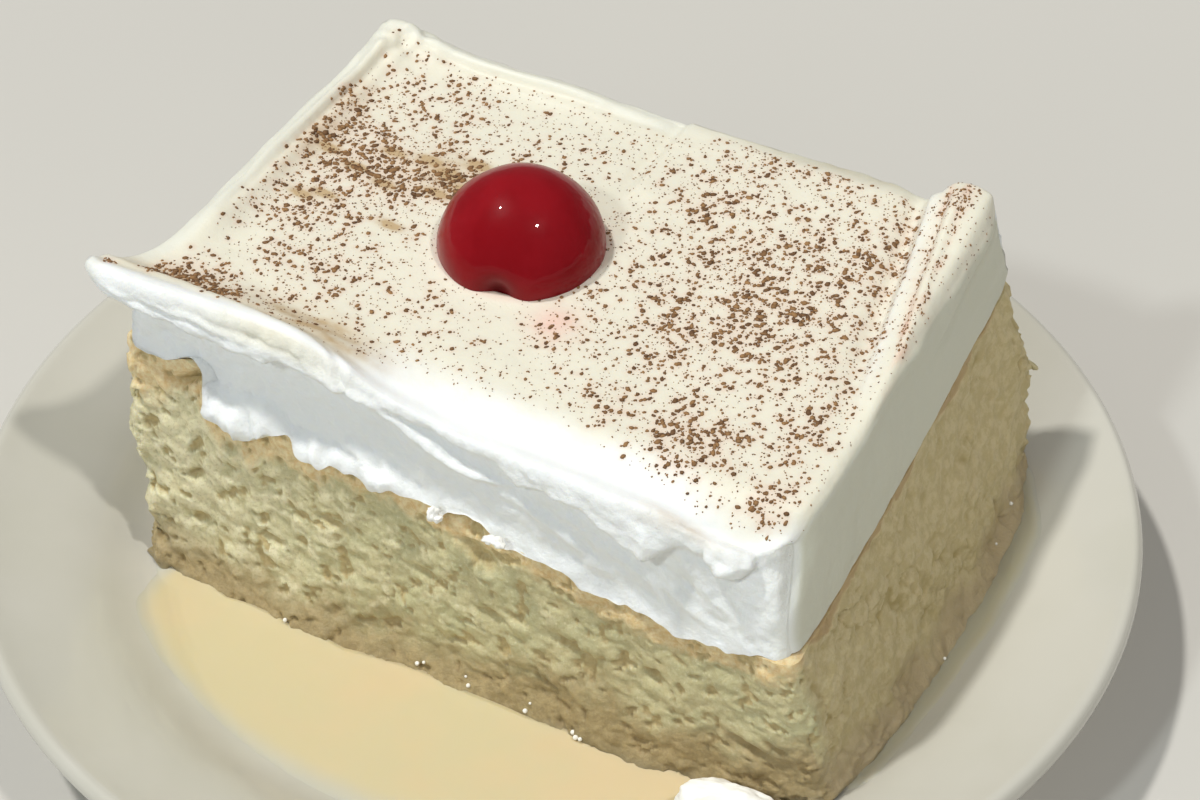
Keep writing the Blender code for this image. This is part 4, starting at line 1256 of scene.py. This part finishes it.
# Crumbs and bits of cream that hang loose, as (u, v, z, radii, turn)
CREAM_BITS = (
    (-0.9, -36.2, 37.4, (0.8, 0.8, 0.9), 0.3), (-0.2, -36.2, 36.9, (0.6, 0.6, 0.4), 0),
    (7.2, -36, 36.2, (0.9, 0.7, 0.45), -0.4), (8.7, -36, 36.5, (0.9, 0.7, 0.5), 0.2),
)
CRUMBS = (
    (49.2, 37, 28, (1.3, 1.1, 1.2), 0.4), (50.6, 37.6, 27.6, (1.1, 0.7, 0.5), -0.3),
    (51.6, 38.2, 27.8, (0.9, 0.4, 0.35), 0.5), (51, 38, 26.6, (0.4, 0.4, 0.9), 0.1),
)
# Milk beads at the foot, coloured near white as painted glints, as (u or v, z, radius)
FRONT_BEADS = (
    (-23.8, 9.6, 0.3), (-3.7, 9.9, 0.32), (-2.8, 10.3, 0.24), (4.3, 9.8, 0.3), (3.6, 10.6, 0.2),
    (13.1, 9.6, 0.34), (13.6, 10.8, 0.2), (20.4, 9.4, 0.36), (21.1, 9.3, 0.36), (21.8, 9.4, 0.3),
)
SIDE_BEADS = (
    (22.7, 16.2, 0.28), (28.8, 12.4, 0.26), (16.9, 13.6, 0.2), (20.8, 9.9, 0.34), (21.6, 9.6, 0.3),
    (-3.7, 10.4, 0.24), (-10.4, 9.6, 0.26), (-9.3, 9.2, 0.2),
)


def blobs(name, material, places, rough, values):
    """Small uneven lumps joined into one piece."""
    bm = bmesh.new()
    for k, (u, v, z, radii, turn) in enumerate(places):
        verts = bmesh.ops.create_icosphere(bm, subdivisions=3, radius=1)["verts"]
        ways = np.array([vert.co for vert in verts])
        size = 1 + rough * (ripples(ways, 1.1, k * 3) + 0.5 * ripples(ways, 0.5, k * 5))
        for vert, place in zip(verts, (ways * size[:, None] * radii).tolist()):
            vert.co = place
        bmesh.ops.rotate(bm, matrix=Matrix.Rotation(turn, 3, "Y"), verts=verts)
        bmesh.ops.translate(bm, vec=(u, v, z), verts=verts)
    count = len(bm.verts)
    values = {label: np.full(count, number) for label, number in values.items()}
    finish(bm, name, material, values=values)


def make_bits(sponge):
    skin = skin_of(sponge)
    beads = []
    for at_side, rows in ((False, FRONT_BEADS), (True, SIDE_BEADS)):
        way = CAKE_MATRIX @ Vector((-1, 0, 0) if at_side else (0, 1, 0))
        for place, z, radius in rows:
            start = Vector((*on_plate(*((80, place) if at_side else (place, -80))), z))
            hit = skin.ray_cast(start * MM, way)[0]
            away = (hit / MM - start).length - 0.4 * radius
            u, v = (80 - away, place) if at_side else (place, -80 + away)
            beads.append((u, v, z, (radius, radius, radius), 0))
    blobs("glint_beads", wet_bead(), beads, 0.1, {})
    crumb, whipped = (bpy.data.materials[name] for name in ("sponge_crumb", "whipped_cream"))
    tones = {"hollow_brown_and_shade": 0.1, "tint_and_highlight": 0.6, "crust": 0.3, "soak_and_foot_shade": 0, "side": 0.5}
    blobs("loose_crumbs", crumb, CRUMBS, 0.6, tones)
    blobs("cream_bits", whipped, CREAM_BITS, 0.8, dict.fromkeys(CREAM_TONES, 0))


# Camera, light and table

TABLE_HALF = 2
CAMERA_PLACE, CAMERA_TILT = (0.005886, -0.345348, 0.331135), 49.4
LENS, SENSOR_WIDTH = 102, 36
# Lamps as (name, azimuth, elevation, strength, softness, colour, whether wet things mirror it)
LAMPS = (
    ("lamp_left", 168, 66, 1.85, 3.6, (1, 0.985, 0.95), True),
    ("lamp_right", -42, 61, 1, 3.6, (1, 0.975, 0.92), True),
    ("window", -134, 42, 0.8, 4.5, (0.91, 0.98, 1), False),
    ("fill", -120, 20, 0.42, 50, (0.9, 0.97, 1), False),
)
ROOM_COLOUR, ROOM_STRENGTH = (0.97, 0.985, 1, 1), 0.13


def make_stage():
    bm = bmesh.new()
    bmesh.ops.create_grid(bm, x_segments=8, y_segments=8, size=TABLE_HALF)
    mesh = bpy.data.meshes.new("table")
    bm.to_mesh(mesh)
    bm.free()
    mesh.materials.append(table_top())
    table = put("table", mesh)

    lens = bpy.data.cameras.new("camera")
    lens.lens, lens.sensor_width = LENS, SENSOR_WIDTH
    camera = put("camera", lens)
    camera.location = CAMERA_PLACE
    camera.rotation_euler = (radians(CAMERA_TILT), 0, 0)
    bpy.context.scene.camera = camera

    for name, azimuth, elevation, strength, softness, colour, mirrored in LAMPS:
        light = bpy.data.lights.new(name, "SUN")
        light.energy, light.angle, light.color = strength, radians(softness), colour
        lamp = put(name, light)
        lamp.rotation_euler = (0, radians(90 - elevation), radians(azimuth))
        lamp.visible_glossy = mirrored

    world = bpy.data.worlds.new("room")
    world.use_nodes = True
    background = world.node_tree.nodes["Background"]
    background.inputs["Color"].default_value = ROOM_COLOUR
    background.inputs["Strength"].default_value = ROOM_STRENGTH
    bpy.context.scene.world = world
    bpy.context.scene.view_settings.view_transform = "Standard"


make_stage()
make_plate()
make_milk()
sponge = make_sponge()
cream = make_cream()
make_cinnamon(cream)
make_cherry()
make_dab()
make_bits(sponge)
